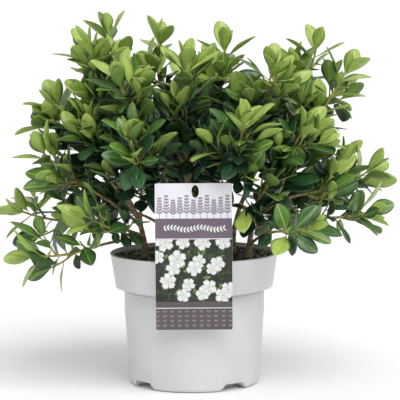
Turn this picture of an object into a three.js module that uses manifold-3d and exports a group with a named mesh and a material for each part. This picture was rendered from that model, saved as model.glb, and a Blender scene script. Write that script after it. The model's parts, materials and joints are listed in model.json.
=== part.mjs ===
// A potted azalea: seven woody stems rise out of one nursery pot, fork low down and carry
// rosettes of leathery leaves. Millimetres, +Z up, the origin under the middle of the pot.
import * as THREE from "three";
import { mergeVertices } from "three/addons/utils/BufferGeometryUtils.js";
import Module from "manifold-3d";

const wasm = await Module();
wasm.setup();

// ---------------------------------------------------------------- driving dimensions

const GAP = 0.3; // left between pieces that touch on the real plant
const SLIVER = 0.012; // faces flatter than this are merged into their neighbours
const UP = new THREE.Vector3(0, 0, 1);
const GOLDEN_ANGLE = THREE.MathUtils.degToRad(137.5);

const POT = {
  height: 148.5,
  rimRadius: 94.8,
  collarHeight: 38.5,
  collarFootRadius: 88.9,
  shoulderRadius: 79.1,
  waistHeight: 84,
  baseRadius: 73.5,
  chamfer: 4,
  wall: 1.6,
  notchCount: 4,
  notchHeight: 8,
  notchTopWidth: 24,
  notchFootWidth: 39,
  notchReach: 52,
  firstNotchBearing: 37.5,
  sides: 32,
};

const SOIL_TOP = 141;

const LABEL = {
  width: 84,
  height: 161,
  bottom: 75,
  thickness: 0.5,
  cornerRadius: 2,
  holeWidth: 8,
  holeHeight: 14,
  holeBelowTop: 9,
  holeOffset: 2,
  hookWidth: 30,
  hookReach: 6.5,
};

// Radii of the wood, from the flare at the soil to the thinnest twig.
const STEM = { footRadius: 3.2, tipRadius: 2.0, flare: 2.4, flareHeight: 9, sides: 6, steps: 4 };
const BOUGH = { footRadius: 1.9, tipRadius: 1.5, sides: 5, steps: 4 };
const LEADER = { footRadius: 1.5, tipRadius: 1.0, sides: 3, steps: 3 };
const TWIG = { footRadius: 0.8, tipRadius: 0.8, sides: 3, steps: 2 };

// Side twigs of one mass: where they leave the leader, how steeply, and how they turn up.
const SIDE_TWIGS = { count: 3, firstAt: 0.1, lastAt: 0.7, leaveAngle: 48, wander: 9, turnUp: 0.45 };

const LEAF = {
  length: 41,
  width: 17.5,
  thickness: 1.3,
  keelAt: 0.4,
  shift: 0.06,
  rootFullness: 0.62,
  sink: 0.3,
};
const ROSETTE = { leaves: 5, openFrom: 26, openTo: 80, span: 9 };
const TURNS_TRIED = [0, 28, -28, 56, -56]; // degrees a leaf may swing to find room
const LEADER_LEAVES = { count: 4, from: 0.1, to: 0.84, open: 64 };

// Stems stand on the soil at foot = [x, y]. Bearing is counted from +X towards +Y, reach is
// the tip's distance from the pot's axis, pitch is how steeply the tip points up, and cut is
// the share of the shoot that is bare wood below its mass of leaves.
const STEMS = [
  { name: "left", foot: [-55, 6], bearing: 196, reach: 116, height: 293, pitch: 74, cut: 0.5, spread: 32 },
  { name: "back_left", foot: [-34, 36], bearing: 158, reach: 102,
    height: 388, pitch: 82, cut: 0.32, spread: 36 },
  { name: "centre", foot: [-8, -20], bearing: 262, reach: 58,
    height: 360, pitch: 82, cut: 0.46, spread: 36 },
  { name: "back", foot: [2, 44], bearing: 138, reach: 52, height: 381, pitch: 84, cut: 0.32, spread: 36 },
  { name: "centre_right", foot: [28, -4], bearing: 18, reach: 38,
    height: 370, pitch: 82, cut: 0.38, spread: 36 },
  { name: "right", foot: [62, -4], bearing: 356, reach: 168,
    height: 346, pitch: 62, cut: 0.46, spread: 38 },
  { name: "back_right", foot: [44, 38], bearing: 15, reach: 144,
    height: 369, pitch: 76, cut: 0.34, spread: 38 },
];

// Boughs leave their stem at the share `from` of its height.
const BOUGHS = [
  { name: "left_high", stem: "left", from: 0.27, bearing: 176,
    reach: 152, height: 312, pitch: 64, cut: 0.4, spread: 34 },
  { name: "left_mid", stem: "left", from: 0.22, bearing: 187,
    reach: 164, height: 258, pitch: 44, cut: 0.42, spread: 34 },
  { name: "left_low", stem: "left", from: 0.14, bearing: 178,
    reach: 190, height: 193, pitch: 20, cut: 0.46, spread: 32 },
  { name: "left_bottom", stem: "left", from: 0.1, bearing: 202,
    reach: 184, height: 154, pitch: 8, cut: 0.5, spread: 28 },
  { name: "front_left", stem: "left", from: 0.18, bearing: 238,
    reach: 118, height: 286, pitch: 64, cut: 0.34, spread: 34 },
  { name: "front_low_left", stem: "left", from: 0.06, bearing: 216,
    reach: 138, height: 196, pitch: 30, cut: 0.42, spread: 34 },
  { name: "top_left", stem: "back_left", from: 0.26, bearing: 186,
    reach: 114, height: 371, pitch: 80, cut: 0.42, spread: 30 },
  { name: "back_left", stem: "back_left", from: 0.22, bearing: 134,
    reach: 156, height: 297, pitch: 50, cut: 0.42, spread: 38 },
  { name: "back_low_left", stem: "back_left", from: 0.12, bearing: 150,
    reach: 186, height: 213, pitch: 26, cut: 0.2, spread: 38 },
  { name: "front_high_left", stem: "centre", from: 0.16, bearing: 222,
    reach: 104, height: 347, pitch: 74, cut: 0.44, spread: 32 },
  { name: "back_high", stem: "back", from: 0.3, bearing: 82,
    reach: 116, height: 343, pitch: 64, cut: 0.42, spread: 38 },
  { name: "back_low", stem: "back", from: 0.14, bearing: 96,
    reach: 174, height: 223, pitch: 28, cut: 0.24, spread: 38 },
  { name: "top_right", stem: "centre_right", from: 0.24, bearing: 326,
    reach: 104, height: 351, pitch: 76, cut: 0.42, spread: 32 },
  { name: "front_right", stem: "centre_right", from: 0.14, bearing: 296,
    reach: 124, height: 297, pitch: 62, cut: 0.44, spread: 36 },
  { name: "right_high", stem: "right", from: 0.18, bearing: 328,
    reach: 140, height: 289, pitch: 58, cut: 0.36, spread: 34 },
  { name: "right_mid", stem: "right", from: 0.24, bearing: 4,
    reach: 194, height: 234, pitch: 34, cut: 0.4, spread: 34 },
  { name: "right_low", stem: "right", from: 0.14, bearing: 350,
    reach: 190, height: 194, pitch: 14, cut: 0.5, spread: 36 },
  { name: "front_low_right", stem: "right", from: 0.06, bearing: 318,
    reach: 158, height: 186, pitch: 10, cut: 0.42, spread: 34 },
  { name: "front_mid_right", stem: "right", from: 0.1, bearing: 313,
    reach: 116, height: 228, pitch: 45, cut: 0.32, spread: 36 },
  { name: "back_right", stem: "back_right", from: 0.22, bearing: 50,
    reach: 162, height: 295, pitch: 50, cut: 0.42, spread: 38 },
  { name: "back_low_right", stem: "back_right", from: 0.12, bearing: 30,
    reach: 190, height: 211, pitch: 26, cut: 0.2, spread: 38 },
];

const FINISH = {
  pot: { color: "#cfcfce", roughness: 0.5, metalness: 0 },
  soil: { color: "#39322c", roughness: 1, metalness: 0 },
  label: { color: "#b3a9b6", roughness: 0.35, metalness: 0 },
  bark: { color: "#7d6449", roughness: 0.85, metalness: 0 },
  leaves: { color: "#467325", roughness: 0.4, metalness: 0 },
};

// ---------------------------------------------------------------- solids and meshes

// A closed three.js geometry as a solid that can be joined and cut.
function solidOf(geometry) {
  const bare = geometry.clone();
  bare.deleteAttribute("normal");
  bare.deleteAttribute("uv");
  const merged = mergeVertices(bare, 1e-4);
  const vertProperties = merged.attributes.position.array;
  const triVerts = new Uint32Array(merged.index.array);
  return new wasm.Manifold(new wasm.Mesh({ numProp: 3, vertProperties, triVerts }));
}

function geometryOf(solid) {
  const mesh = solid.getMesh();
  const geometry = new THREE.BufferGeometry();
  geometry.setAttribute("position", new THREE.BufferAttribute(mesh.vertProperties, 3));
  geometry.setIndex(new THREE.BufferAttribute(mesh.triVerts, 1));
  geometry.computeVertexNormals();
  return geometry;
}

const azalea = new THREE.Group();

function addNode(name, solid, finish) {
  const material = new THREE.MeshStandardMaterial(FINISH[finish]);
  const mesh = new THREE.Mesh(geometryOf(solid), material);
  mesh.name = name;
  azalea.add(mesh);
}

// A body of revolution about +Z from [radius, z] pairs that start and end on the axis.
function turned(profile, sides) {
  const points = profile.map(([radius, z]) => new THREE.Vector2(radius, z));
  return solidOf(new THREE.LatheGeometry(points, sides).rotateX(Math.PI / 2));
}

// ---------------------------------------------------------------- pot and soil

const collarFoot = POT.height - POT.collarHeight;

function lerp(a, b, share) {
  return a + (b - a) * share;
}

// Outer radius of the collar at a height.
function collarRadius(z) {
  return lerp(POT.collarFootRadius, POT.rimRadius, (z - collarFoot) / POT.collarHeight);
}

// One wedge for each notch in the pot's foot, wider at the ground, grown by `grow` all round.
function notches(grow) {
  const half = POT.notchTopWidth / 2 + grow;
  const halfAtFoot = POT.notchFootWidth / 2 + grow;
  const top = POT.notchHeight + grow;
  const outline = new THREE.Shape([
    new THREE.Vector2(-halfAtFoot - half + POT.notchTopWidth / 2, -1),
    new THREE.Vector2(halfAtFoot + half - POT.notchTopWidth / 2, -1),
    new THREE.Vector2(half, top),
    new THREE.Vector2(-half, top),
  ]);
  const inner = POT.notchReach - grow;
  const depth = POT.rimRadius - inner;
  const wedges = [];
  for (let i = 0; i < POT.notchCount; i += 1) {
    const bearing = POT.firstNotchBearing + (i * 360) / POT.notchCount;
    const wedge = new THREE.ExtrudeGeometry(outline, { depth, bevelEnabled: false });
    wedge.rotateX(Math.PI / 2).translate(0, -inner, 0);
    wedges.push(solidOf(wedge.rotateZ(THREE.MathUtils.degToRad(bearing))));
  }
  return wasm.Manifold.union(wedges);
}

// A turned body that follows the pot's profile at a distance inside it.
function potFilling(inset, top) {
  const foot = inset;
  const step = collarFoot + inset;
  return turned(
    [
      [0, foot],
      [POT.baseRadius - POT.chamfer - inset, foot],
      [POT.baseRadius - inset, POT.chamfer + inset],
      [POT.shoulderRadius - inset, POT.waistHeight],
      [POT.shoulderRadius - inset, step],
      [POT.collarFootRadius - inset, step],
      [collarRadius(top) - inset, top],
      [0, top],
    ],
    POT.sides,
  ).subtract(notches(inset));
}

// Thin-walled pot: a stepped collar on a body that is upright down to the waist and tapers
// below it, with notches round its flat foot.
function pot() {
  const outside = turned(
    [
      [0, 0],
      [POT.baseRadius - POT.chamfer, 0],
      [POT.baseRadius, POT.chamfer],
      [POT.shoulderRadius, POT.waistHeight],
      [POT.shoulderRadius, collarFoot],
      [POT.collarFootRadius, collarFoot],
      [POT.rimRadius, POT.height],
      [0, POT.height],
    ],
    POT.sides,
  );
  return outside.subtract(notches(0)).subtract(potFilling(POT.wall, POT.height + 1));
}

// The filling, a hair clear of the pot, with the flat top that the stems stand on.
function soil() {
  return potFilling(POT.wall + GAP, SOIL_TOP);
}

// ---------------------------------------------------------------- label

const labelFront = -(POT.rimRadius + 2 * GAP + LABEL.thickness);

// A rounded card with an oval hole, hung over the rim by a hook on its back.
function label() {
  const { width, height, cornerRadius: r } = LABEL;
  const card = new THREE.Shape();
  card.moveTo(-width / 2 + r, 0);
  card.lineTo(width / 2 - r, 0);
  card.absarc(width / 2 - r, r, r, -Math.PI / 2, 0);
  card.lineTo(width / 2, height - r);
  card.absarc(width / 2 - r, height - r, r, 0, Math.PI / 2);
  card.lineTo(-width / 2 + r, height);
  card.absarc(-width / 2 + r, height - r, r, Math.PI / 2, Math.PI);
  card.lineTo(-width / 2, r);
  card.absarc(-width / 2 + r, r, r, Math.PI, 1.5 * Math.PI);
  const hole = new THREE.Path();
  const holeHeight = height - LABEL.holeBelowTop;
  const [halfWidth, halfHeight] = [LABEL.holeWidth / 2, LABEL.holeHeight / 2];
  hole.absellipse(LABEL.holeOffset, holeHeight, halfWidth, halfHeight, 0, 2 * Math.PI, true);
  card.holes.push(hole);
  const sheet = new THREE.ExtrudeGeometry(card, {
    depth: LABEL.thickness,
    bevelEnabled: false,
    curveSegments: 3,
  });
  sheet.rotateX(Math.PI / 2).translate(0, labelFront + LABEL.thickness, LABEL.bottom);

  const hookTop = POT.height + GAP + LABEL.thickness;
  const bridge = new THREE.BoxGeometry(LABEL.hookWidth, LABEL.hookReach, LABEL.thickness);
  bridge.translate(0, labelFront + LABEL.thickness / 2 + LABEL.hookReach / 2, hookTop - LABEL.thickness / 2);
  const legLength = hookTop - SOIL_TOP - GAP;
  const leg = new THREE.BoxGeometry(LABEL.hookWidth, LABEL.thickness, legLength);
  leg.translate(0, labelFront + LABEL.hookReach, hookTop - legLength / 2);
  return wasm.Manifold.union([solidOf(sheet), solidOf(bridge), solidOf(leg)]);
}

// ---------------------------------------------------------------- the growth rule

// The same numbers on every run: a small seeded generator for each shoot.
function seeded(seed) {
  let state = seed >>> 0;
  return () => {
    state = (state + 0x6d2b79f5) >>> 0;
    let mixed = Math.imul(state ^ (state >>> 15), 1 | state);
    mixed = (mixed + Math.imul(mixed ^ (mixed >>> 7), 61 | mixed)) ^ mixed;
    return ((mixed ^ (mixed >>> 14)) >>> 0) / 4294967296;
  };
}

function fromBearing(bearing, reach, height) {
  const angle = THREE.MathUtils.degToRad(bearing);
  return new THREE.Vector3(reach * Math.cos(angle), reach * Math.sin(angle), height);
}

// The way a shoot's tip points: outwards on its bearing, raised by its pitch.
function tipDirection(shoot) {
  const pitch = THREE.MathUtils.degToRad(shoot.pitch);
  return fromBearing(shoot.bearing, Math.cos(pitch), Math.sin(pitch));
}

// A shoot leaves along `start` and arrives along its own tip direction.
function shootPath(root, start, shoot) {
  const tip = fromBearing(shoot.bearing, shoot.reach, shoot.height);
  const handle = root.distanceTo(tip) * 0.36;
  const leave = root.clone().addScaledVector(start, handle);
  const arrive = tip.clone().addScaledVector(tipDirection(shoot), -handle);
  return new THREE.CubicBezierCurve3(root, leave, arrive, tip);
}

// Two directions square to `along`, one of them level.
function squareTo(along) {
  const level = new THREE.Vector3().crossVectors(along, UP);
  if (level.length() < 1e-3) level.set(1, 0, 0);
  level.normalize();
  return { level, raised: new THREE.Vector3().crossVectors(level, along).normalize() };
}

// `along` tipped over by `open` towards the side that `roll` gives.
function tippedFrom(along, roll, open) {
  const { level, raised } = squareTo(along);
  const side = level.multiplyScalar(Math.cos(roll)).addScaledVector(raised, Math.sin(roll));
  return along.clone().multiplyScalar(Math.cos(open)).addScaledVector(side, Math.sin(open));
}

// Side twigs leave the leader by the golden angle, shorter towards its tip, and turn up.
function sideTwigPaths(path, shoot, random) {
  const paths = [];
  const firstRoll = random() * 2 * Math.PI;
  for (let k = 0; k < SIDE_TWIGS.count; k += 1) {
    const share = k / (SIDE_TWIGS.count - 1);
    const at = lerp(shoot.cut, 1, lerp(SIDE_TWIGS.firstAt, SIDE_TWIGS.lastAt, share));
    const wander = (random() - 0.5) * 2 * SIDE_TWIGS.wander;
    const open = THREE.MathUtils.degToRad(SIDE_TWIGS.leaveAngle + wander);
    const length = shoot.spread * lerp(1, 0.72, share) * lerp(0.88, 1.12, random());
    const root = path.getPoint(at);
    const direction = tippedFrom(path.getTangent(at), firstRoll + k * GOLDEN_ANGLE, open);
    const bend = root.clone().addScaledVector(direction, length * 0.5);
    const turned = direction.clone().addScaledVector(UP, SIDE_TWIGS.turnUp).normalize();
    const tip = bend.clone().addScaledVector(turned, length * 0.5);
    paths.push(new THREE.QuadraticBezierCurve3(root, bend, tip));
  }
  return paths;
}

// ---------------------------------------------------------------- wood

// A tapering limb: a cylinder bent along the path from one share of it to another.
function limb(path, from, to, radiusAt, { sides, steps }) {
  const geometry = new THREE.CylinderGeometry(1, 1, 1, sides, steps);
  const position = geometry.attributes.position;
  const chord = path.getPoint(to).sub(path.getPoint(from)).normalize();
  const { level } = squareTo(chord);
  for (let i = 0; i < position.count; i += 1) {
    const share = position.getY(i) + 0.5;
    const at = lerp(from, to, share);
    const along = path.getTangent(at);
    const across = level.clone().addScaledVector(along, -level.dot(along)).normalize();
    const third = new THREE.Vector3().crossVectors(across, along);
    const point = path.getPoint(at);
    point.addScaledVector(across, position.getX(i) * radiusAt(share));
    point.addScaledVector(third, position.getZ(i) * radiusAt(share));
    position.setXYZ(i, point.x, point.y, point.z);
  }
  return solidOf(geometry);
}

// The share of a path that its given length at `at` takes up.
function shareOf(path, length) {
  return length / path.getLength();
}

function taper({ footRadius, tipRadius }, grow = 0) {
  return (share) => lerp(footRadius, tipRadius, share) + grow;
}

// A stem's radius, with the root flare just above the soil.
function stemRadius(path, cut, grow) {
  const length = path.getLength() * cut;
  return (share) => {
    const flare = STEM.flare * Math.exp((-share * length) / STEM.flareHeight);
    return lerp(STEM.footRadius, STEM.tipRadius, share) + flare + grow;
  };
}

function stemSolid(shoot, grow = 0) {
  return limb(shoot.path, 0, shoot.cut, stemRadius(shoot.path, shoot.cut, grow), STEM);
}

function boughSolid(shoot, grow = 0) {
  return limb(shoot.path, 0, shoot.cut, taper(BOUGH, grow), BOUGH);
}

// ---------------------------------------------------------------- leaves

// A six-cornered blade, widest past its middle, lying along +X: flat above and keeled below,
// from a six-sided cone.
function blade() {
  const geometry = new THREE.ConeGeometry(1, 1, 6, 1).rotateY(-Math.PI / 6).rotateX(-Math.PI / 2);
  const position = geometry.attributes.position;
  for (let i = 0; i < position.count; i += 1) {
    const x = position.getX(i);
    const isKeel = position.getZ(i) < 0;
    const isNearRoot = x < -0.1 && x > -0.9;
    position.setXYZ(
      i,
      LEAF.length * (isKeel ? LEAF.keelAt : (1 + x) / 2 + LEAF.shift * (1 - x * x)) - LEAF.sink,
      position.getY(i) * 0.57 * LEAF.width * (isNearRoot ? LEAF.rootFullness : 1),
      isKeel ? -LEAF.thickness : 0,
    );
  }
  return geometry;
}

// The blade at a site, running away from the twig, its upper face turned towards its tip.
function leafAt({ point, along, roll, open }) {
  const xAxis = tippedFrom(along, roll, open);
  const zAxis = along.clone().addScaledVector(xAxis, -along.dot(xAxis)).normalize();
  const yAxis = new THREE.Vector3().crossVectors(zAxis, xAxis);
  const place = new THREE.Matrix4().makeBasis(xAxis, yAxis, zAxis).setPosition(point);
  const geometry = blade().applyMatrix4(place);
  return { solid: solidOf(geometry), corners: cornersOf(geometry) };
}

function cornersOf(geometry) {
  const position = geometry.attributes.position;
  const corners = [];
  for (let i = 0; i < position.count; i += 1) {
    corners.push(new THREE.Vector3().fromBufferAttribute(position, i));
  }
  return corners;
}

// A ring of leaf sites at a twig's tip, the lower ones opening wider.
function rosetteSites(path, random) {
  const sites = [];
  const firstRoll = random() * 2 * Math.PI;
  const span = shareOf(path, ROSETTE.span);
  for (let k = 0; k < ROSETTE.leaves; k += 1) {
    const share = k / (ROSETTE.leaves - 1);
    const at = 1 - shareOf(path, GAP) - span * share;
    const open = lerp(ROSETTE.openFrom, ROSETTE.openTo, share) + random() * 6;
    sites.push(leafSite(path, at, firstRoll + k * GOLDEN_ANGLE, open));
  }
  return sites;
}

function leaderSites(path, from, random) {
  const sites = [];
  const firstRoll = random() * 2 * Math.PI;
  for (let k = 0; k < LEADER_LEAVES.count; k += 1) {
    const share = lerp(LEADER_LEAVES.from, LEADER_LEAVES.to, k / (LEADER_LEAVES.count - 1));
    const roll = firstRoll + k * GOLDEN_ANGLE;
    sites.push(leafSite(path, lerp(from, 1, share), roll, LEADER_LEAVES.open));
  }
  return sites;
}

function leafSite(path, at, roll, openDegrees) {
  const open = THREE.MathUtils.degToRad(openDegrees);
  return { point: path.getPoint(at), along: path.getTangent(at), roll, open };
}

// ---------------------------------------------------------------- shoots and their spaces

function grownStem(shoot) {
  const root = new THREE.Vector3(...shoot.foot, SOIL_TOP + GAP);
  return { ...shoot, path: shootPath(root, UP, shoot) };
}

// A bough sets off between its stem's own direction and its tip.
function grownBough(shoot, stems) {
  const parent = stems.find((stem) => stem.name === shoot.stem);
  const at = shoot.from;
  const root = parent.path.getPoint(at);
  const outwards = fromBearing(shoot.bearing, shoot.reach, shoot.height).sub(root).normalize();
  const start = outwards.addScaledVector(parent.path.getTangent(at), 0.35).normalize();
  return { ...shoot, parent, path: shootPath(root, start, shoot) };
}

const stems = STEMS.map(grownStem);
const boughs = BOUGHS.map((shoot) => grownBough(shoot, stems));
const shoots = [...stems, ...boughs];

// Each mass owns the points that lie nearest its own leader, less a margin.
const SPACE_MARGIN = 0.6;
const LEADER_SAMPLES = 9;
for (const shoot of shoots) {
  shoot.spine = [];
  for (let i = 0; i <= LEADER_SAMPLES; i += 1) {
    shoot.spine.push(shoot.path.getPoint(lerp(shoot.cut, 1, i / LEADER_SAMPLES)));
  }
}

function distanceToSpine(point, spine) {
  const nearest = new THREE.Vector3();
  let least = Infinity;
  for (let i = 1; i < spine.length; i += 1) {
    new THREE.Line3(spine[i - 1], spine[i]).closestPointToPoint(point, true, nearest);
    least = Math.min(least, nearest.distanceTo(point));
  }
  return least;
}

function isInSpace(point, shoot) {
  const own = distanceToSpine(point, shoot.spine) + 2 * SPACE_MARGIN;
  return shoots.every((other) => other === shoot || own < distanceToSpine(point, other.spine));
}

// ---------------------------------------------------------------- building the nodes

const LIMB_CLEARANCE = 0.6;
const LEAF_OVERLAP = 0.1; // mm3 that two leaves of one mass may share at their roots

// Everything that a leaf or a side twig has to stay clear of.
function keepOut() {
  const rim = turned(
    [
      [0, 0],
      [POT.rimRadius + 1, 0],
      [POT.rimRadius + 1, POT.height + 1],
      [0, POT.height + 1],
    ],
    POT.sides,
  );
  const card = new THREE.BoxGeometry(LABEL.width + 4, 4, LABEL.height + 4);
  card.translate(0, labelFront, LABEL.bottom + LABEL.height / 2);
  return wasm.Manifold.union([
    rim,
    solidOf(card),
    ...stems.map((stem) => stemSolid(stem, LIMB_CLEARANCE)),
    ...boughs.map((bough) => boughSolid(bough, LIMB_CLEARANCE)),
  ]);
}

function fits(piece, shoot, blocked) {
  return piece.corners.every((corner) => isInSpace(corner, shoot))
    && piece.solid.intersect(blocked).isEmpty();
}

// The leaf at a site, swung about its twig until it has room, or nothing.
function settledLeaf(site, kept, shoot, blocked) {
  for (const turn of TURNS_TRIED) {
    const leaf = leafAt({ ...site, roll: site.roll + THREE.MathUtils.degToRad(turn) });
    const isFree = kept.every((other) => leaf.solid.intersect(other.solid).volume() < LEAF_OVERLAP);
    if (isFree && fits(leaf, shoot, blocked)) return leaf;
  }
  return null;
}

// One mass: the leader above the bare wood, its side twigs, and leaves sunk into them all.
function mass(shoot, index, blocked) {
  const random = seeded(1210 + index);
  const start = shoot.cut + shareOf(shoot.path, GAP);
  const wood = [limb(shoot.path, start, 1, taper(LEADER), LEADER)];
  const sites = rosetteSites(shoot.path, random);
  for (const path of sideTwigPaths(shoot.path, shoot, random)) {
    const solid = limb(path, 0, 1, taper(TWIG), TWIG);
    const corners = path.getPoints(4).slice(1);
    const twigSites = rosetteSites(path, random);
    if (!fits({ solid, corners }, shoot, blocked)) continue;
    wood.push(solid);
    sites.push(...twigSites);
  }
  sites.push(...leaderSites(shoot.path, start, random));
  const kept = [];
  for (const site of sites) {
    const leaf = settledLeaf(site, kept, shoot, blocked);
    if (leaf) kept.push(leaf);
  }
  return largestBody(wasm.Manifold.union([...wood, ...kept.map((leaf) => leaf.solid)]));
}

// The solid without loose scraps, sealed hollows and the slivers that joining leaves behind.
function largestBody(solid) {
  const bodies = solid.asOriginal().simplify(SLIVER).decompose();
  return bodies.reduce((large, body) => (body.volume() > large.volume() ? body : large));
}

addNode("pot", pot(), "pot");
addNode("soil", soil(), "soil");
addNode("label_card", label(), "label");

for (const stem of stems) addNode(`stem_${stem.name}`, stemSolid(stem), "bark");
for (const bough of boughs) {
  const limb = boughSolid(bough).subtract(stemSolid(bough.parent, GAP));
  addNode(`bough_${bough.name}`, largestBody(limb), "bark");
}

const blocked = keepOut();
shoots.forEach((shoot, index) => {
  const prefix = index < stems.length ? "crown" : "spray";
  addNode(`${prefix}_${shoot.name}`, mass(shoot, index, blocked), "leaves");
});

export default azalea;
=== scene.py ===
# %% [markdown]
# # A potted azalea, grown in Blender
# A young evergreen azalea out of flower stands in a light grey nursery pot. We dress a packed
# frame of plain solids: each solid is replaced by a finer piece that keeps its place. The
# plant is grown by a rule, so a few named sizes give two thousand leaves, and the same seeds
# give the same plant on every run.

import json
import math

import bpy
import numpy as np
from mathutils import Matrix, Quaternion, Vector, noise

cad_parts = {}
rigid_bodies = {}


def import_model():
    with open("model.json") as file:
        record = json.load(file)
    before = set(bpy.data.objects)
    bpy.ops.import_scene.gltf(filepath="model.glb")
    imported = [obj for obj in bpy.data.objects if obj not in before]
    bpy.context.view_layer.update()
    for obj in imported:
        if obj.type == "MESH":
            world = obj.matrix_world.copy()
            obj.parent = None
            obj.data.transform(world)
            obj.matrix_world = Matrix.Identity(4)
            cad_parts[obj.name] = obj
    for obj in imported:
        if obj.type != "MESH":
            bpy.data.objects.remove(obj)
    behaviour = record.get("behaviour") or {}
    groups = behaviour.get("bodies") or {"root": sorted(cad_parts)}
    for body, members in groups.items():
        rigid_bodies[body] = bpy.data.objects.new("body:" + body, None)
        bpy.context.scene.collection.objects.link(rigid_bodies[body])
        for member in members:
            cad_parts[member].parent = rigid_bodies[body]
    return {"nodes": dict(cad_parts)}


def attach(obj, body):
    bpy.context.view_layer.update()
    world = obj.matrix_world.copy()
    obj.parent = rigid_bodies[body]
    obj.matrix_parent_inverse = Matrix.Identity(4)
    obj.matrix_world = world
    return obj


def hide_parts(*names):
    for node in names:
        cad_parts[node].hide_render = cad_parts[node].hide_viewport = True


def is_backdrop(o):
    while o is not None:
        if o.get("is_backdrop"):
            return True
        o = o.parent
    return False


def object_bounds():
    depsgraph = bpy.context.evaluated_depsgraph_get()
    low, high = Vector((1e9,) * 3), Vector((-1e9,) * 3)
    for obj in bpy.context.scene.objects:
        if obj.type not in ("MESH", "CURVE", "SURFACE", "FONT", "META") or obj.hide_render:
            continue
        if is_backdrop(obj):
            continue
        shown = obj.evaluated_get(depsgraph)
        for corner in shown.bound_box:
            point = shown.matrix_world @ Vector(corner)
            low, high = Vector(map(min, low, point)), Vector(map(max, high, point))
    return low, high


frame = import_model()
cad_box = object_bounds()
nodes = sorted(frame["nodes"])
for axis, low, high in zip("XYZ", *cad_box):
    print(axis, "from", round(low, 3), "to", round(high, 3))
print(len(nodes), "solids")

# %% [markdown]
# ## Camera, floor and light
# A long lens a few metres off flattens the view, as a catalogue picture does. The studio is an
# even white sky with one very wide, soft lamp high on the right, which lights plant and floor
# alike, so the floor stays pale right to the back. The inside of the crown shades itself, and
# its leaves are also given darker tones there as painted shade: that dark heart is what makes
# a shrub look dense.

# %% Camera
EYE = Vector((0.0072, -2.6, 0.497))
AIM = Vector((0.0072, 0.0, 0.207))
LENS_MM = 208.7
SENSOR_MM = 36.0
ROLL = math.radians(-0.4)

scene = bpy.context.scene
camera = bpy.data.objects.new("camera", bpy.data.cameras.new("camera"))
scene.collection.objects.link(camera)
camera.data.lens = LENS_MM
camera.data.sensor_width = SENSOR_MM
camera.location = EYE
camera.rotation_mode = "QUATERNION"
camera.rotation_quaternion = (AIM - EYE).to_track_quat("-Z", "Y") @ Quaternion((0, 0, 1), ROLL)
scene.camera = camera
scene.view_settings.view_transform = "Standard"
print("camera", round((AIM - EYE).length, 2), "m from the plant")

# %% Light
LAMP_FROM = Vector((0.42, -0.9, 1.2))
LAMP_STRENGTH = 1.9
LAMP_WIDTH = math.radians(50)
SKY_STRENGTH = 0.68

lamp = bpy.data.lights.new("soft_lamp", "SUN")
lamp.energy = LAMP_STRENGTH
lamp.angle = LAMP_WIDTH
light = bpy.data.objects.new("soft_lamp", lamp)
light.rotation_euler = LAMP_FROM.to_track_quat("Z", "Y").to_euler()
scene.collection.objects.link(light)

world = bpy.data.worlds.new("studio")
scene.world = world
world.use_nodes = True
sky = world.node_tree.nodes["Background"]
sky.inputs["Color"].default_value = (1, 1, 1, 1)
sky.inputs["Strength"].default_value = SKY_STRENGTH
print("one soft lamp and a sky of", SKY_STRENGTH)

# %% [markdown]
# ## Materials
# Every finish is built from nodes. A noise texture mixes two or three close colours, and a
# second, finer one gives the bump. What is the same all over, such as roughness, is set on the
# shader itself. Object coordinates are in metres, so a noise scale of 400 makes spots of a few
# millimetres.


# %% One way to build a finish
MOTTLE_FROM, MOTTLE_TO = 0.32, 0.68  # noise below and above these shows one colour only
MOTTLE_DETAIL, GRAIN_DETAIL = 4.0, 3.0
GRAIN_DEPTH = 0.0004


def finish(name, colours, scale, roughness, bump=0.0, bump_scale=900.0, **sockets):
    """A material whose colour wanders between the given colours, with a fine bump."""
    material = bpy.data.materials.new(name)
    material.use_nodes = True
    tree = material.node_tree
    shader = tree.nodes["Principled BSDF"]
    where = tree.nodes.new("ShaderNodeTexCoord")

    mottle = tree.nodes.new("ShaderNodeTexNoise")
    mottle.inputs["Scale"].default_value = scale
    mottle.inputs["Detail"].default_value = MOTTLE_DETAIL
    ramp = tree.nodes.new("ShaderNodeValToRGB")
    ramp.color_ramp.elements[0].position = MOTTLE_FROM
    ramp.color_ramp.elements[1].position = MOTTLE_TO
    while len(ramp.color_ramp.elements) < len(colours):
        ramp.color_ramp.elements.new(0.5)
    for element, colour in zip(ramp.color_ramp.elements, colours):
        element.color = (*colour, 1.0)
    tree.links.new(where.outputs["Object"], mottle.inputs["Vector"])
    tree.links.new(mottle.outputs["Fac"], ramp.inputs["Fac"])
    tree.links.new(ramp.outputs["Color"], shader.inputs["Base Color"])

    shader.inputs["Roughness"].default_value = roughness
    for socket, value in sockets.items():
        shader.inputs[socket.replace("_", " ")].default_value = value
    if bump:
        grain = tree.nodes.new("ShaderNodeTexNoise")
        grain.inputs["Scale"].default_value = bump_scale
        grain.inputs["Detail"].default_value = GRAIN_DETAIL
        relief = tree.nodes.new("ShaderNodeBump")
        relief.inputs["Strength"].default_value = bump
        relief.inputs["Distance"].default_value = GRAIN_DEPTH
        tree.links.new(where.outputs["Object"], grain.inputs["Vector"])
        tree.links.new(grain.outputs["Fac"], relief.inputs["Height"])
        tree.links.new(relief.outputs["Normal"], shader.inputs["Normal"])
    return material


def shade(*colour):
    """A colour given in everyday 0-255 values, as the linear numbers a shader wants."""
    return tuple(((v / 255 + 0.055) / 1.055) ** 2.4 if v > 10 else v / 3294 for v in colour)


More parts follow.
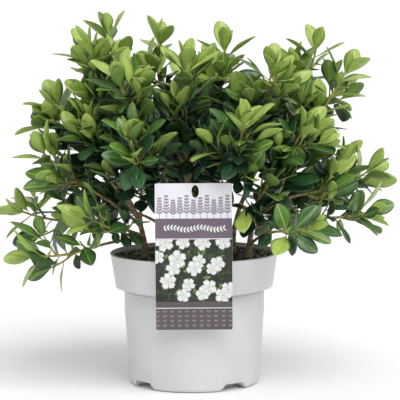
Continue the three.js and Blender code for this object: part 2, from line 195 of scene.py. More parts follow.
# %% Finishes of the pot, soil and wood
plastic_tones = [shade(202, 202, 203), shade(208, 208, 209)]
pot_plastic = finish("pot_plastic", plastic_tones, 30, 0.42, bump=0.05, bump_scale=700)
peat_tones = [shade(30, 28, 26), shade(58, 54, 50)]
peat = finish("peat", peat_tones, 500, 0.95, bump=0.8, bump_scale=1500)
crumb_dark = finish("crumb_dark", [shade(44, 42, 39), shade(78, 75, 71)], 400, 0.95, bump=0.7)
crumb_grey = finish("crumb_grey", [shade(104, 101, 96), shade(136, 133, 128)], 400, 0.92, bump=0.7)
crumb_pale = finish("crumb_pale", [shade(150, 148, 143), shade(184, 182, 177)], 400, 0.9, bump=0.7)
old_tones = [shade(104, 88, 66), shade(146, 126, 94), shade(182, 164, 128)]
old_bark = finish("old_bark", old_tones, 260, 0.82, bump=0.7, bump_scale=1400)
young_tones = [shade(130, 120, 58), shade(174, 162, 90)]
young_bark = finish("young_bark", young_tones, 220, 0.62, bump=0.35, bump_scale=1200)
print("finishes so far:", [m.name for m in bpy.data.materials])

# %% [markdown]
# ## The growth rule
# The stems fan out of the pot and each carries a few boughs. Every shoot is one smooth Bezier
# curve from its root to its tip. Below a cut it is bare wood, and above it a leader carries
# side twigs and leaves. Each new twig or leaf turns on by the golden angle, which is how many
# plants space them. The tables give each shoot the same sizes as the solids have: its bearing
# from +X and its pitch in degrees, its reach from the pot's axis and its tip's height in
# millimetres, the share of it that is bare, and how long its side twigs are.

# %% Sizes of the shoots
MM = 0.001
UP = np.array([0.0, 0.0, 1.0])
GOLDEN_ANGLE = math.radians(137.5)
SOIL_TOP = 141.0
GAP = 0.3  # mm that the solids keep from each other

STEMS = [
    # name, foot, bearing, reach, height, pitch, cut, spread
    ("left", (-55, 6), 196, 116, 293, 74, 0.5, 32),
    ("back_left", (-34, 36), 158, 102, 388, 82, 0.32, 36),
    ("centre", (-8, -20), 262, 58, 360, 82, 0.46, 36),
    ("back", (2, 44), 138, 52, 381, 84, 0.32, 36),
    ("centre_right", (28, -4), 18, 38, 370, 82, 0.38, 36),
    ("right", (62, -4), 356, 168, 346, 62, 0.46, 38),
    ("back_right", (44, 38), 15, 144, 369, 76, 0.34, 38),
]
BOUGHS = [
    # name, stem, from, bearing, reach, height, pitch, cut, spread
    ("left_high", "left", 0.27, 176, 152, 312, 64, 0.4, 34),
    ("left_mid", "left", 0.22, 187, 164, 258, 44, 0.42, 34),
    ("left_low", "left", 0.14, 178, 190, 193, 20, 0.46, 32),
    ("left_bottom", "left", 0.1, 202, 184, 154, 8, 0.5, 28),
    ("front_left", "left", 0.18, 238, 118, 286, 64, 0.34, 34),
    ("front_low_left", "left", 0.06, 216, 138, 196, 30, 0.42, 34),
    ("top_left", "back_left", 0.26, 186, 114, 371, 80, 0.42, 30),
    ("back_left", "back_left", 0.22, 134, 156, 297, 50, 0.42, 38),
    ("back_low_left", "back_left", 0.12, 150, 186, 213, 26, 0.2, 38),
    ("front_high_left", "centre", 0.16, 222, 104, 347, 74, 0.44, 32),
    ("back_high", "back", 0.3, 82, 116, 343, 64, 0.42, 38),
    ("back_low", "back", 0.14, 96, 174, 223, 28, 0.24, 38),
    ("top_right", "centre_right", 0.24, 326, 104, 351, 76, 0.42, 32),
    ("front_right", "centre_right", 0.14, 296, 124, 297, 62, 0.44, 36),
    ("right_high", "right", 0.18, 328, 140, 289, 58, 0.36, 34),
    ("right_mid", "right", 0.24, 4, 194, 234, 34, 0.4, 34),
    ("right_low", "right", 0.14, 350, 190, 194, 14, 0.5, 36),
    ("front_low_right", "right", 0.06, 318, 158, 186, 10, 0.42, 34),
    ("front_mid_right", "right", 0.1, 313, 116, 228, 45, 0.32, 36),
    ("back_right", "back_right", 0.22, 50, 162, 295, 50, 0.42, 38),
    ("back_low_right", "back_right", 0.12, 30, 190, 211, 26, 0.2, 38),
]
print(len(STEMS), "stems and", len(BOUGHS), "boughs")


# %% Seeded numbers
TWIG_SEED, FINE_TWIG_SEED = 1210, 7000
SITE_SEED, LEAF_SEED = 9000, 11000
CRUMB_SEED, PRINT_SEED = 40, 21


def seeded(seed):
    """A small generator that gives the same run of numbers between 0 and 1 each time."""
    state = seed

    def draw():
        nonlocal state
        state = (state + 0x6D2B79F5) & 0xFFFFFFFF
        mixed = ((state ^ (state >> 15)) * (1 | state)) & 0xFFFFFFFF
        mixed = ((mixed + (mixed ^ (mixed >> 7)) * (61 | mixed)) & 0xFFFFFFFF) ^ mixed
        return (mixed ^ (mixed >> 14)) / 4294967296

    return draw


# %% Curves that shoots follow
LENGTH_STEPS = 60
HANDLE = 0.36  # length of a curve's handles, as a share of the way from root to tip


def lerp(a, b, share):
    return a + (b - a) * share


def unit(vector):
    return vector / np.linalg.norm(vector)


def from_bearing(bearing, reach, height):
    angle = math.radians(bearing)
    return np.array([reach * math.cos(angle), reach * math.sin(angle), height])


class Course:
    """A Bezier curve through three or four points, in millimetres."""

    def __init__(self, *points):
        self.points = [np.array(p, dtype=float) for p in points]
        spots = [self.at(i / LENGTH_STEPS) for i in range(LENGTH_STEPS + 1)]
        self.length = sum(np.linalg.norm(b - a) for a, b in zip(spots, spots[1:]))

    def at(self, share):
        spots = self.points
        while len(spots) > 1:
            spots = [lerp(a, b, share) for a, b in zip(spots, spots[1:])]
        return spots[0]

    def tangent(self, share):
        step = 0.0005
        return unit(self.at(share + step) - self.at(share - step))


def shoot_course(root, start, bearing, reach, height, pitch):
    """A shoot leaves along start and arrives along its own tip direction."""
    tip = from_bearing(bearing, reach, height)
    handle = np.linalg.norm(tip - root) * HANDLE
    rise = math.radians(pitch)
    tip_direction = from_bearing(bearing, math.cos(rise), math.sin(rise))
    return Course(root, root + start * handle, tip - tip_direction * handle, tip)


# %% Lay out stems and boughs
SPINE_STEPS = 9
FORK_FOLLOW = 0.35  # how much a bough sets off along its stem


class Shoot:
    """One stem or bough: its curve, where its leaves begin, and its own space."""

    def __init__(self, name, course, cut, spread, parent=None):
        self.name = name
        self.course = course
        self.cut = cut
        self.spread = spread
        self.parent = parent
        self.node = ("bough_" if parent else "stem_") + name
        self.mass = ("spray_" if parent else "crown_") + name
        spine = [course.at(lerp(cut, 1, i / SPINE_STEPS)) for i in range(SPINE_STEPS + 1)]
        self.spine = np.array(spine)


stems = {}
for name, foot, bearing, reach, height, pitch, cut, spread in STEMS:
    root = np.array([*foot, SOIL_TOP + GAP])
    stems[name] = Shoot(name, shoot_course(root, UP, bearing, reach, height, pitch), cut, spread)

shoots = list(stems.values())
for name, stem, fork, bearing, reach, height, pitch, cut, spread in BOUGHS:
    parent = stems[stem]
    root = parent.course.at(fork)
    outwards = unit(from_bearing(bearing, reach, height) - root)
    start = unit(outwards + FORK_FOLLOW * parent.course.tangent(fork))
    course = shoot_course(root, start, bearing, reach, height, pitch)
    shoots.append(Shoot(name, course, cut, spread, parent))
print(len(shoots), "shoots, the longest", round(max(s.course.length for s in shoots)), "mm")

# %% [markdown]
# ## Wood
# A limb is a tube swept along its curve. Real azalea stems are thin, slightly knotty and
# ridged, with a small flare where they leave the soil and a collar where a bough sets off. A
# little noise on the radius gives that relief in the mesh itself, so it also shows in outline.


# %% Gather small parts into one mesh
class MeshKit:
    """Gathers points, faces and material numbers from many small parts into one mesh."""

    def __init__(self):
        self.points = []
        self.faces = []
        self.finishes = []
        self.count = 0

    def add(self, points, faces, finishes):
        self.points.append(np.asarray(points))
        self.faces.extend([tuple(i + self.count for i in face) for face in faces])
        self.finishes.extend([finishes] * len(faces) if isinstance(finishes, int) else finishes)
        self.count += len(points)

    def build(self, name, materials, smooth=True):
        """The gathered parts as one object, scaled from millimetres to metres."""
        mesh = bpy.data.meshes.new(name)
        mesh.from_pydata((np.concatenate(self.points) * MM).tolist(), [], self.faces)
        for material in materials:
            mesh.materials.append(material)
        mesh.polygons.foreach_set("material_index", self.finishes)
        mesh.polygons.foreach_set("use_smooth", [smooth] * len(self.faces))
        mesh.update()
        piece = bpy.data.objects.new(name, mesh)
        scene.collection.objects.link(piece)
        return piece


# %% Sweep a tube
EAST = np.array([1.0, 0.0, 0.0])
STEEP = 0.9  # a curve that climbs more than this takes its first direction from EAST
RIDGE_ROUND, RIDGE_ALONG = 1.7, 0.11  # how fast ridges change round a limb and along it
KNOT_ROUND, KNOT_ALONG, KNOT_SHARE = 0.4, 0.35, 0.9


def across_directions(course, shares):
    """Two directions square to the curve at each share, carried along without twisting."""
    first = None
    frames = []
    for share in shares:
        along = course.tangent(share)
        if first is None:
            first = np.cross(along, UP if abs(along[2]) < STEEP else EAST)
        first = unit(first - along * np.dot(first, along))
        frames.append((first, np.cross(along, first)))
    return frames


def sweep(kit, course, start, end, radius_at, sides, steps, relief):
    """A closed tube from one share of a curve to another, ridged and knotty by its relief."""
    shares = [lerp(start, end, i / steps) for i in range(steps + 1)]
    points = []
    for i, (share, (first, second)) in enumerate(zip(shares, across_directions(course, shares))):
        centre = course.at(share)
        for j in range(sides):
            angle = 2 * math.pi * j / sides
            spoke = first * math.cos(angle) + second * math.sin(angle)
            ridge = noise.noise(Vector(spoke * RIDGE_ROUND + centre * RIDGE_ALONG))
            knot = noise.noise(Vector(centre * KNOT_ALONG + spoke * KNOT_ROUND))
            radius = radius_at(i / steps) * (1 + relief * (ridge + KNOT_SHARE * knot))
            points.append(centre + spoke * radius)
    faces = [tuple(reversed(range(sides))), tuple(range(steps * sides, (steps + 1) * sides))]
    for i in range(steps):
        for j in range(sides):
            k = (j + 1) % sides
            faces.append((i * sides + j, i * sides + k, (i + 1) * sides + k, (i + 1) * sides + j))
    kit.add(points, faces, 0)


# %% Stems with their boughs
STEM_FOOT, STEM_TIP, FLARE, FLARE_HEIGHT = 3.2, 2.0, 2.4, 9.0
BOUGH_FOOT, BOUGH_TIP, COLLAR, COLLAR_LENGTH = 1.9, 1.5, 0.7, 5.0
STEM_SIDES, STEM_STEPS, STEM_RELIEF = 14, 64, 0.13
BOUGH_SIDES, BOUGH_STEPS, BOUGH_RELIEF = 12, 44, 0.12
SUNK = 1.5  # mm that a stem's foot goes on below the soil's surface


def limb_radius(shoot, foot, tip, swelling, swelling_length):
    """A taper from foot to tip, with a swelling where the limb sets off."""
    length = shoot.course.length * shoot.cut

    def radius(share):
        return lerp(foot, tip, share) + swelling * math.exp(-share * length / swelling_length)

    return radius


for stem in stems.values():
    kit = MeshKit()
    below = -SUNK / stem.course.length
    radius = limb_radius(stem, STEM_FOOT, STEM_TIP, FLARE, FLARE_HEIGHT)
    sweep(kit, stem.course, below, stem.cut, radius, STEM_SIDES, STEM_STEPS, STEM_RELIEF)
    family = [s for s in shoots if s.parent is stem]
    for bough in family:
        radius = limb_radius(bough, BOUGH_FOOT, BOUGH_TIP, COLLAR, COLLAR_LENGTH)
        sweep(kit, bough.course, 0, bough.cut, radius, BOUGH_SIDES, BOUGH_STEPS, BOUGH_RELIEF)
    wood = kit.build("wood_" + stem.name, [old_bark])
    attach(wood, "root")
    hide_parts(stem.node, *[bough.node for bough in family])
    print(wood.name, len(wood.data.polygons), "faces,", len(family), "boughs")

# %% [markdown]
# ## Twigs
# Above its bare wood each shoot carries the side twigs that the solids have. In the lush parts
# of the crown these branch once more into finer twigs. A shoot keeps to its own space: a point
# belongs to it when its leader is the nearest one. What would leave that space, or run into a
# limb, the pot or the label, isn't grown.

# %% Space and obstacles
all_spines = np.array([shoot.spine for shoot in shoots])
spine_starts, spine_ends = all_spines[:, :-1], all_spines[:, 1:]

POT_RIM_RADIUS = 94.8
POT_HEIGHT = 148.5
LABEL_FRONT = -95.5
LABEL_WIDTH = 84.0
LABEL_BOTTOM, LABEL_HEIGHT = 75.0, 161.0
SPACE_SLACK = 3.0  # mm that leaves may reach into a neighbour's space
AROUND_WOOD, AROUND_POT = 1.0, 2.0
BESIDE_LABEL, ABOVE_LABEL, BEHIND_LABEL = 2.0, 3.0, 6.0
LIMB_STEPS = 12


def distances_to_segments(point, starts, ends):
    """How far a point lies from each of many straight segments."""
    span = ends - starts
    share = np.clip(np.sum((point - starts) * span, -1) / np.sum(span * span, -1), 0, 1)
    return np.linalg.norm(starts + span * share[..., None] - point, axis=-1)


limb_starts, limb_ends, limb_radii = [], [], []
for shoot in shoots:
    spots = [shoot.course.at(shoot.cut * i / LIMB_STEPS) for i in range(LIMB_STEPS + 1)]
    thickest = STEM_FOOT if shoot.parent is None else BOUGH_FOOT
    limb_starts += spots[:-1]
    limb_ends += spots[1:]
    limb_radii += [thickest] * LIMB_STEPS
limb_starts, limb_ends = np.array(limb_starts), np.array(limb_ends)
limb_clearances = np.array(limb_radii) + AROUND_WOOD
label_top = LABEL_BOTTOM + LABEL_HEIGHT


def has_room(point, index):
    """True where a point lies in the shoot's own space and clear of wood, pot and label."""
    nearest = distances_to_segments(point, spine_starts, spine_ends).min(axis=1)
    if nearest[index] > np.delete(nearest, index).min() + SPACE_SLACK:
        return False
    if (distances_to_segments(point, limb_starts, limb_ends) < limb_clearances).any():
        return False
    low = point[2] < POT_HEIGHT + AROUND_POT
    if low and math.hypot(point[0], point[1]) < POT_RIM_RADIUS + AROUND_POT:
        return False
    beside_label = abs(point[0]) < LABEL_WIDTH / 2 + BESIDE_LABEL
    below_its_top = point[2] < label_top + ABOVE_LABEL
    return not (beside_label and below_its_top and point[1] < LABEL_FRONT + BEHIND_LABEL)


print(len(limb_starts), "lengths of bare wood to keep clear of")


# %% The twigs of one shoot
SIDE_TWIGS = 3
FIRST_AT, LAST_AT = 0.1, 0.7
LEAVE_ANGLE, WANDER, TURN_UP = 48, 9, 0.45
SHORTEST_SIDE_TWIG = 0.72  # the topmost side twig, as a share of the lowest
SIDE_TWIG_VARIES = (0.88, 1.12)
ROSETTE_DRAWS = 6  # numbers that the solids draw for each ring of leaves
LEADER_FOOT, LEADER_TIP = 1.7, 1.15
TWIG_FOOT, TWIG_TIP = 1.25, 0.95
TIP_GROWTH = 4.0  # mm that a twig goes on past the solid's


def tipped_from(along, roll, opening):
    """along tipped over by opening towards the side that roll gives."""
    level = np.cross(along, UP)
    level = unit(level) if np.linalg.norm(level) > 1e-3 else EAST
    raised = unit(np.cross(level, along))
    side = level * math.cos(roll) + raised * math.sin(roll)
    return along * math.cos(opening) + side * math.sin(opening)


def bent_twig(root, direction, length, turn_up=TURN_UP):
    """A twig that sets off straight and bends upwards half way along."""
    bend = root + direction * length * 0.5
    return Course(root, bend, bend + unit(direction + UP * turn_up) * length * 0.5)


def side_twigs(shoot, random):
    """The same side twigs as the solids have: the draws come in the same order."""
    first_roll = random() * 2 * math.pi
    twigs = []
    for k in range(SIDE_TWIGS):
        share = k / (SIDE_TWIGS - 1)
        at = lerp(shoot.cut, 1, lerp(FIRST_AT, LAST_AT, share))
        opening = math.radians(LEAVE_ANGLE + (random() - 0.5) * 2 * WANDER)
        length = shoot.spread * lerp(1, SHORTEST_SIDE_TWIG, share) * lerp(*SIDE_TWIG_VARIES, random())
        direction = tipped_from(shoot.course.tangent(at), first_roll + k * GOLDEN_ANGLE, opening)
        twigs.append(bent_twig(shoot.course.at(at), direction, length))
    return twigs


# %% Finer twigs
LEADER, SIDE_TWIG, FINE_TWIG = range(3)
FINE_FOOT, FINE_TIP = 1.0, 0.8
FINE_LENGTH, FINE_OPENING, FINE_TURN_UP = (16, 26), (40, 58), 0.9
FINE_ON = {LEADER: 6, SIDE_TWIG: 3}
FINE_FROM, FINE_TO, FINE_SCATTER = 0.02, 0.56, 0.6
FINE_TURNS = (0, 50, -50, 100)
LUSH_FROM, LUSH_RISE = 175, 130  # mm: from this height, and over this rise, shoots get lusher
BACK_FROM, BACK_LUSHNESS = 40, 0.6


class Twig:
    """A leafy twig: its curve, the share where it starts and ends, and its thickness."""

    def __init__(self, course, start, end, foot, tip, order):
        self.course, self.start, self.end = course, start, end
        self.foot, self.tip, self.order = foot, tip, order


def fine_twigs(twig, count, index, random):
    """Finer twigs off a twig, each tried at a few rolls until one has room."""
    found = []
    first_roll = random() * 2 * math.pi
    for k in range(count):
        at = lerp(twig.start, twig.end, lerp(FINE_FROM, FINE_TO, (k + random() * FINE_SCATTER) / count))
        length = lerp(*FINE_LENGTH, random())
        opening = math.radians(lerp(*FINE_OPENING, random()))
        for turn in FINE_TURNS:
            roll = first_roll + k * GOLDEN_ANGLE + math.radians(turn)
            direction = tipped_from(twig.course.tangent(at), roll, opening)
            course = bent_twig(twig.course.at(at), direction, length, FINE_TURN_UP)
            if has_room(course.at(0.6), index) and has_room(course.at(1.0), index):
                found.append(Twig(course, 0, 1, FINE_FOOT, FINE_TIP, FINE_TWIG))
                break
    return found


def lushness(shoot):
    """How richly a shoot branches: fully in the crown's top and back, sparsely low in front."""
    tip = shoot.course.at(1)
    at_back = BACK_LUSHNESS if tip[1] > BACK_FROM else 0
    return max(0, min(1, (tip[2] - LUSH_FROM) / LUSH_RISE + at_back))


def twigs_of(shoot, index):
    """The leader, the side twigs that have room, and the finer twigs of one shoot."""
    random = seeded(TWIG_SEED + index)
    fine_random = seeded(FINE_TWIG_SEED + index)
    for _ in range(ROSETTE_DRAWS):
        random()
    end = 1 + TIP_GROWTH / shoot.course.length
    twigs = [Twig(shoot.course, shoot.cut, end, LEADER_FOOT, LEADER_TIP, LEADER)]
    for course in side_twigs(shoot, random):
        if has_room(course.at(0.5), index) and has_room(course.at(1.0), index):
            end = 1 + TIP_GROWTH / course.length
            twigs.append(Twig(course, 0, end, TWIG_FOOT, TWIG_TIP, SIDE_TWIG))
    finer = []
    for twig in twigs:
        count = round(FINE_ON[twig.order] * lushness(shoot))
        finer += fine_twigs(twig, count, index, fine_random)
    return twigs + finer


twigs_by_shoot = [twigs_of(shoot, index) for index, shoot in enumerate(shoots)]
print(sum(len(t) for t in twigs_by_shoot), "twigs on", len(shoots), "shoots")

# %% [markdown]
# ## Leaves
# An azalea leaf is small, leathery and widest just past its middle. It is folded a little
# along its pale midrib, arches towards a pointed tip, and sits on a short stalk. We make one
# thin closed shell as a grid of rings: five strips above and five below, of which the
# middle ones are the midrib. Twisting, folding and arching the same grid gives each leaf its
# own shape. Young leaves at the shoot tips are yellow-green, small and upright; older ones
# below them are dark, flat and glossy. The tone is dealt out leaf by leaf, as the number of a
# material.
# Leaves under others, low down or in the crown's heart are painted darker too, as painted shade.

# %% Leaf finishes
GLOSS = {"Coat_Weight": 0.35, "Coat_Roughness": 0.2}  # the waxy skin of the upper face


def leaf_finish(name, low, high, roughness, **sockets):
    """A leathery skin, finely grained, between two close greens."""
    tones = [shade(*low), shade(*high)]
    return finish(name, tones, 120, roughness, bump=0.12, bump_scale=1100, **sockets)


# The darker tones serve old leaves and painted shade alike.
LEAF_MATERIALS = [
    leaf_finish("leaf_new", (150, 176, 72), (174, 196, 98), 0.42, **GLOSS),
    leaf_finish("leaf_young", (78, 118, 44), (100, 138, 56), 0.36, **GLOSS),
    leaf_finish("leaf_grown", (48, 90, 40), (66, 108, 50), 0.32, **GLOSS),
    leaf_finish("leaf_dark", (32, 70, 40), (46, 88, 50), 0.3, **GLOSS),
    leaf_finish("leaf_deep", (24, 54, 35), (35, 69, 44), 0.3, **GLOSS),
    leaf_finish("leaf_back_young", (141, 170, 74), (165, 190, 98), 0.5),
    leaf_finish("leaf_back", (96, 128, 54), (116, 146, 68), 0.52),
    leaf_finish("leaf_back_dark", (50, 80, 42), (68, 98, 54), 0.54),
    leaf_finish("midrib_pale", (170, 192, 102), (188, 206, 120), 0.45),
    leaf_finish("midrib_middling", (114, 146, 72), (132, 162, 86), 0.42),
    leaf_finish("midrib_dark", (64, 96, 50), (80, 112, 62), 0.42),
]
TONES = range(5)  # new, young, grown, dark and deep
NEW, DARK, DEEP = 0, 3, 4
BACK_YOUNG, BACK, BACK_DARK, RIB_PALE, RIB_MIDDLING, RIB_DARK = range(5, 11)

# What goes with each tone of the upper face, from new to deep.
BACK_OF = (BACK_YOUNG, BACK_YOUNG, BACK, BACK_DARK, BACK_DARK)
RIB_OF = (RIB_PALE, RIB_PALE, RIB_MIDDLING, RIB_DARK, DARK)
BACK_RIB_OF = (RIB_PALE, RIB_PALE, RIB_MIDDLING, RIB_DARK, RIB_DARK)
print(len(LEAF_MATERIALS), "leaf finishes")

# %% The grid of one leaf
STATIONS = np.array([0.0, 0.07, 0.14, 0.26, 0.4, 0.54, 0.67, 0.79, 0.89, 0.96, 1.0])
ABOVE, BELOW = 6, 4  # points of one ring on the upper and the lower face
ACROSS = ABOVE + BELOW


def leaf_faces():
    """Faces of the grid, and for each whether it is blade, midrib or back."""
    faces, kinds = [], []
    strips = ["blade", "blade", "rib", "blade", "blade", "back", "back", "back_rib", "back", "back"]
    for i in range(len(STATIONS) - 1):
        for j, kind in enumerate(strips):
            k = (j + 1) % ACROSS
            faces.append((i * ACROSS + j, i * ACROSS + k, (i + 1) * ACROSS + k, (i + 1) * ACROSS + j))
            kinds.append(kind)
    last = (len(STATIONS) - 1) * ACROSS
    faces += [tuple(reversed(range(ACROSS))), tuple(range(last, last + ACROSS))]
    return faces, kinds + ["back", "back"]


LEAF_FACES, LEAF_KINDS = leaf_faces()
print(len(LEAF_FACES), "faces in one leaf")

# %% Bend the grid into a leaf
STALK_SHARE = 0.09
STALK_HALF_WIDTH, TIP_HALF_WIDTH = 0.5, 0.08
FULLEST, BLUNTNESS = 1.22, 0.4  # the blade is widest past its middle and blunter towards its tip
RIB_HALF_WIDTH = 0.45
INNER_ABOVE, INNER_BELOW, RIB_BELOW = 0.55, 0.5, 0.9  # shares of the blade's and the rib's width
RIB_SINK, BACK_DROP, RIB_DROP = -0.12, -0.35, -0.66  # mm below the smooth upper face
ARCH_LATE, ARCH_LIFT = 1.4, 0.25  # the arch comes late, after a small lift off the stalk
SWELL = 0.28  # mm that the blade's halves bulge upwards
WAVE, WAVES, LEFT_PHASE, RIGHT_PHASE = 0.3, 9, 3, 1  # the edge's height, and how it repeats


def half_widths(width):
    """Half the blade's width at each station: a slim stalk, then an egg shape, a pointed tip."""
    blade = np.clip((STATIONS - STALK_SHARE) / (1 - STALK_SHARE), 0, 1)
    egg = np.sin(math.pi * blade**FULLEST) ** (1.0 - BLUNTNESS * blade)
    return np.maximum(egg * width / 2, np.where(STATIONS == 1, TIP_HALF_WIDTH, STALK_HALF_WIDTH))


def leaf_points(length, width, fold, arch, twist):
    """Ring points of a leaf that runs along +X with its upper face to +Z."""
    halves = half_widths(width)
    angles = -arch * (STATIONS**ARCH_LATE) + arch * ARCH_LIFT
    steps = np.diff(STATIONS, prepend=0) * length
    x = np.cumsum(np.cos(angles) * steps)
    z = np.cumsum(np.sin(angles) * steps)
    rib = np.minimum(RIB_HALF_WIDTH, halves * 0.5)
    points = np.zeros((len(STATIONS), ACROSS, 3))
    above = [-halves, -INNER_ABOVE * halves, -rib, rib, INNER_ABOVE * halves, halves]
    below = [INNER_BELOW * halves, RIB_BELOW * rib, -RIB_BELOW * rib, -INNER_BELOW * halves]
    drops = [0, 0, RIB_SINK, RIB_SINK, 0, 0, BACK_DROP, RIB_DROP, RIB_DROP, BACK_DROP]
    narrow = np.minimum(halves / 2, 1)
    for j, (across, drop) in enumerate(zip(above + below, drops)):
        share = np.abs(across) / np.maximum(halves, 0.01)
        rise = np.abs(across) * math.tan(fold) + drop * (narrow if j < ABOVE else 1)
        rise = rise + SWELL * np.sin(math.pi * share) * (j < ABOVE)
        phase = RIGHT_PHASE if across[4] > 0 else LEFT_PHASE
        rise = rise + WAVE * np.sin(STATIONS * WAVES + phase) * share
        angle = twist * STATIONS
        points[:, j, 0] = x - np.sin(angles) * rise
        points[:, j, 1] = across * np.cos(angle) - rise * np.sin(angle)
        points[:, j, 2] = z + np.cos(angles) * (rise * np.cos(angle) + across * np.sin(angle))
    return points.reshape(-1, 3)


# %% Where leaves sit
class Site:
    """A place for a leaf: the point, the twig's direction there, roll, opening and age 0-1."""

    def __init__(self, twig, at, roll, opening, age, size, tint):
        self.point, self.along, self.roll = twig.course.at(at), twig.course.tangent(at), roll
        self.opening, self.age, self.size, self.tint = opening, age, size, tint


RING = (5, 5, 4)  # leaves in the ring at the tip of a leader, a side twig and a fine twig
SPARSE_RING = (5, 3, 2)  # the same low down on the plant
RING_INSET, RING_LENGTH = 0.3, 10.0
RING_OPENING, RING_SCATTER, RING_AGES = (12, 62), 14, 0.4
RING_SIZE, RING_VARIES = (0.66, 1.0), (0.84, 1.08)
FINE_TWIG_AGE = 0.42  # fine twigs carry no leaves younger than this
SPARSE_SWELL, SPARSE_STRETCH = 1.04, 1.7  # leaves low down are larger and wider apart

# The row below the ring: its first leaf, the share of a twig that it covers, and its leaves.
ROW_START, ROW_ON_LEADER, ROW_ON_TWIG = 6, 0.96, 0.8
ROW_PITCH = (4.6, 7.4)
ROW_OPENING, ROW_SIZE = (48, 80), (0.46, 0.88)
ROW_AGE, MM_PER_AGE = 0.5, 110


def sites_of(twig, lush, random):
    """An upright ring of leaves at the tip, and a looser row down the twig below it."""
    sites = []
    span = (twig.end - twig.start) * twig.course.length
    per_mm = 1 / twig.course.length
    tint = random() - 0.5
    roll = random() * 2 * math.pi
    youngest = FINE_TWIG_AGE if twig.order == FINE_TWIG else 0
    ring = round(lerp(SPARSE_RING[twig.order], RING[twig.order], lush))
    swell = lerp(SPARSE_SWELL, 1, lush)
    for k in range(ring):
        share = k / (ring - 1)
        at = twig.end - (RING_INSET + RING_LENGTH * share) * per_mm
        opening = math.radians(lerp(*RING_OPENING, share) + (random() - 0.5) * RING_SCATTER)
        size = lerp(*RING_SIZE, min(1, share * 2)) * lerp(*RING_VARIES, random()) * swell
        sites.append(Site(twig, at, roll, opening, youngest + RING_AGES * share, size, tint))
        roll += GOLDEN_ANGLE
    distance = RING_LENGTH + ROW_START
    row_end = span * (ROW_ON_LEADER if twig.order == LEADER else ROW_ON_TWIG)
    while distance < row_end:
        at = twig.end - distance * per_mm
        age = min(1, ROW_AGE + distance / MM_PER_AGE)
        opening = math.radians(lerp(*ROW_OPENING, random()))
        size = lerp(*ROW_SIZE, random()) * swell
        sites.append(Site(twig, at, roll, opening, age, size, tint))
        roll += GOLDEN_ANGLE
        distance += lerp(*ROW_PITCH, random()) * lerp(SPARSE_STRETCH, 1, lush)
    return sites


# %% Keep the leaves apart
CELL = 4.0  # mm: the grid in which the marks on set leaves are kept
APART = 2.2  # mm between the marks on two leaves
taken = {}


def is_crowded(spots):
    """True where a spot comes too near to a mark on a leaf that is already set."""
    for spot in spots:
        cell = tuple(int(v // CELL) for v in spot)
        for dx in (-1, 0, 1):
            for dy in (-1, 0, 1):
                for dz in (-1, 0, 1):
                    for other in taken.get((cell[0] + dx, cell[1] + dy, cell[2] + dz), ()):
                        if (spot - other) @ (spot - other) < APART**2:
                            return True
    return False


# %% Set a leaf where it has room
LEAF_LENGTH, LEAF_WIDTH, WIDTH_VARIES = 43.0, 20.4, (0.9, 1.1)

# How a leaf changes from its first day to old age, in degrees, and how much chance adds.
BLADE_FOLD, FOLD_CHANCE = (16, 6), 8
ARCH, ARCH_CHANCE = (-4, 20), 20
TWIST_CHANCE = 26
FACE_TIP, FACE_SKY = (0.85, 0.5), (0.15, 0.5)  # what its upper face turns to
LEAF_TURNS = (0, 22, -22, 44, -44, 66)
MARKED_RINGS, EDGE_RINGS, EDGES = [4, 5, 7, 8, 10], [5, 8], [0, ABOVE - 1]
leaves_set = []


def leaf_axes(site, roll):
    """Along the leaf, across it, and its upper face turned to the twig's tip and the light."""
    along_leaf = tipped_from(site.along, roll, site.opening)
    lean = site.along * lerp(*FACE_TIP, site.age) + UP * lerp(*FACE_SKY, site.age)
    face = lean - along_leaf * (lean @ along_leaf)
    if np.linalg.norm(face) < 0.05:
        face = np.cross(along_leaf, np.array([0.0, 1.0, 0.0]))
    face = unit(face)
    return np.array([along_leaf, np.cross(face, along_leaf), face])


def set_leaf(site, index, random):
    """Sets one leaf at a site, swung about its twig until it has room."""
    width = LEAF_WIDTH * site.size * lerp(*WIDTH_VARIES, random())
    fold = math.radians(lerp(*BLADE_FOLD, site.age) + FOLD_CHANCE * (random() - 0.5))
    arch = math.radians(lerp(*ARCH, site.age) + ARCH_CHANCE * (random() - 0.5))
    twist = math.radians(TWIST_CHANCE * (random() - 0.5))
    local = leaf_points(site.size * LEAF_LENGTH, width, fold, arch, twist)
    jitter = random() - 0.5
    for turn in LEAF_TURNS:
        points = site.point + local @ leaf_axes(site, site.roll + math.radians(turn))
        rings = points.reshape(len(STATIONS), ACROSS, 3)
        middles = rings[MARKED_RINGS].mean(axis=1)
        if not all(has_room(p, index) for p in middles[::2]):
            continue
        spots = np.concatenate([middles, rings[EDGE_RINGS][:, EDGES].reshape(-1, 3)])
        if is_crowded(spots):
            continue
        for spot in spots:
            taken.setdefault(tuple(int(v // CELL) for v in spot), []).append(spot)
        leaves_set.append((index, points, middles[2], site, jitter))
        return


# %% Set the leaves of every mass
# The outermost rings of leaves are set first, so that they are the last to be crowded out.
AGE_ROUNDS = ((-1, 0.25), (0.25, 0.6), (0.6, 2))

sites_by_shoot = []
for index, twigs in enumerate(twigs_by_shoot):
    random = seeded(SITE_SEED + index)
    lush = lushness(shoots[index])
    sites_by_shoot.append([site for twig in twigs for site in sites_of(twig, lush, random)])

for youngest, oldest in AGE_ROUNDS:
    for index, sites in enumerate(sites_by_shoot):
        random = seeded(LEAF_SEED + index + int(100 * oldest))
        for site in sites:
            if youngest < site.age <= oldest:
                set_leaf(site, index, random)
print(len(leaves_set), "leaves on", sum(len(s) for s in sites_by_shoot), "sites")
leaf_lengths = [site.size * LEAF_LENGTH for _, _, _, site, _ in leaves_set]
shortest, middling, longest = np.percentile(leaf_lengths, [0, 50, 100]).round()
print("They are", shortest, "to", longest, "mm long, half of them over", middling)
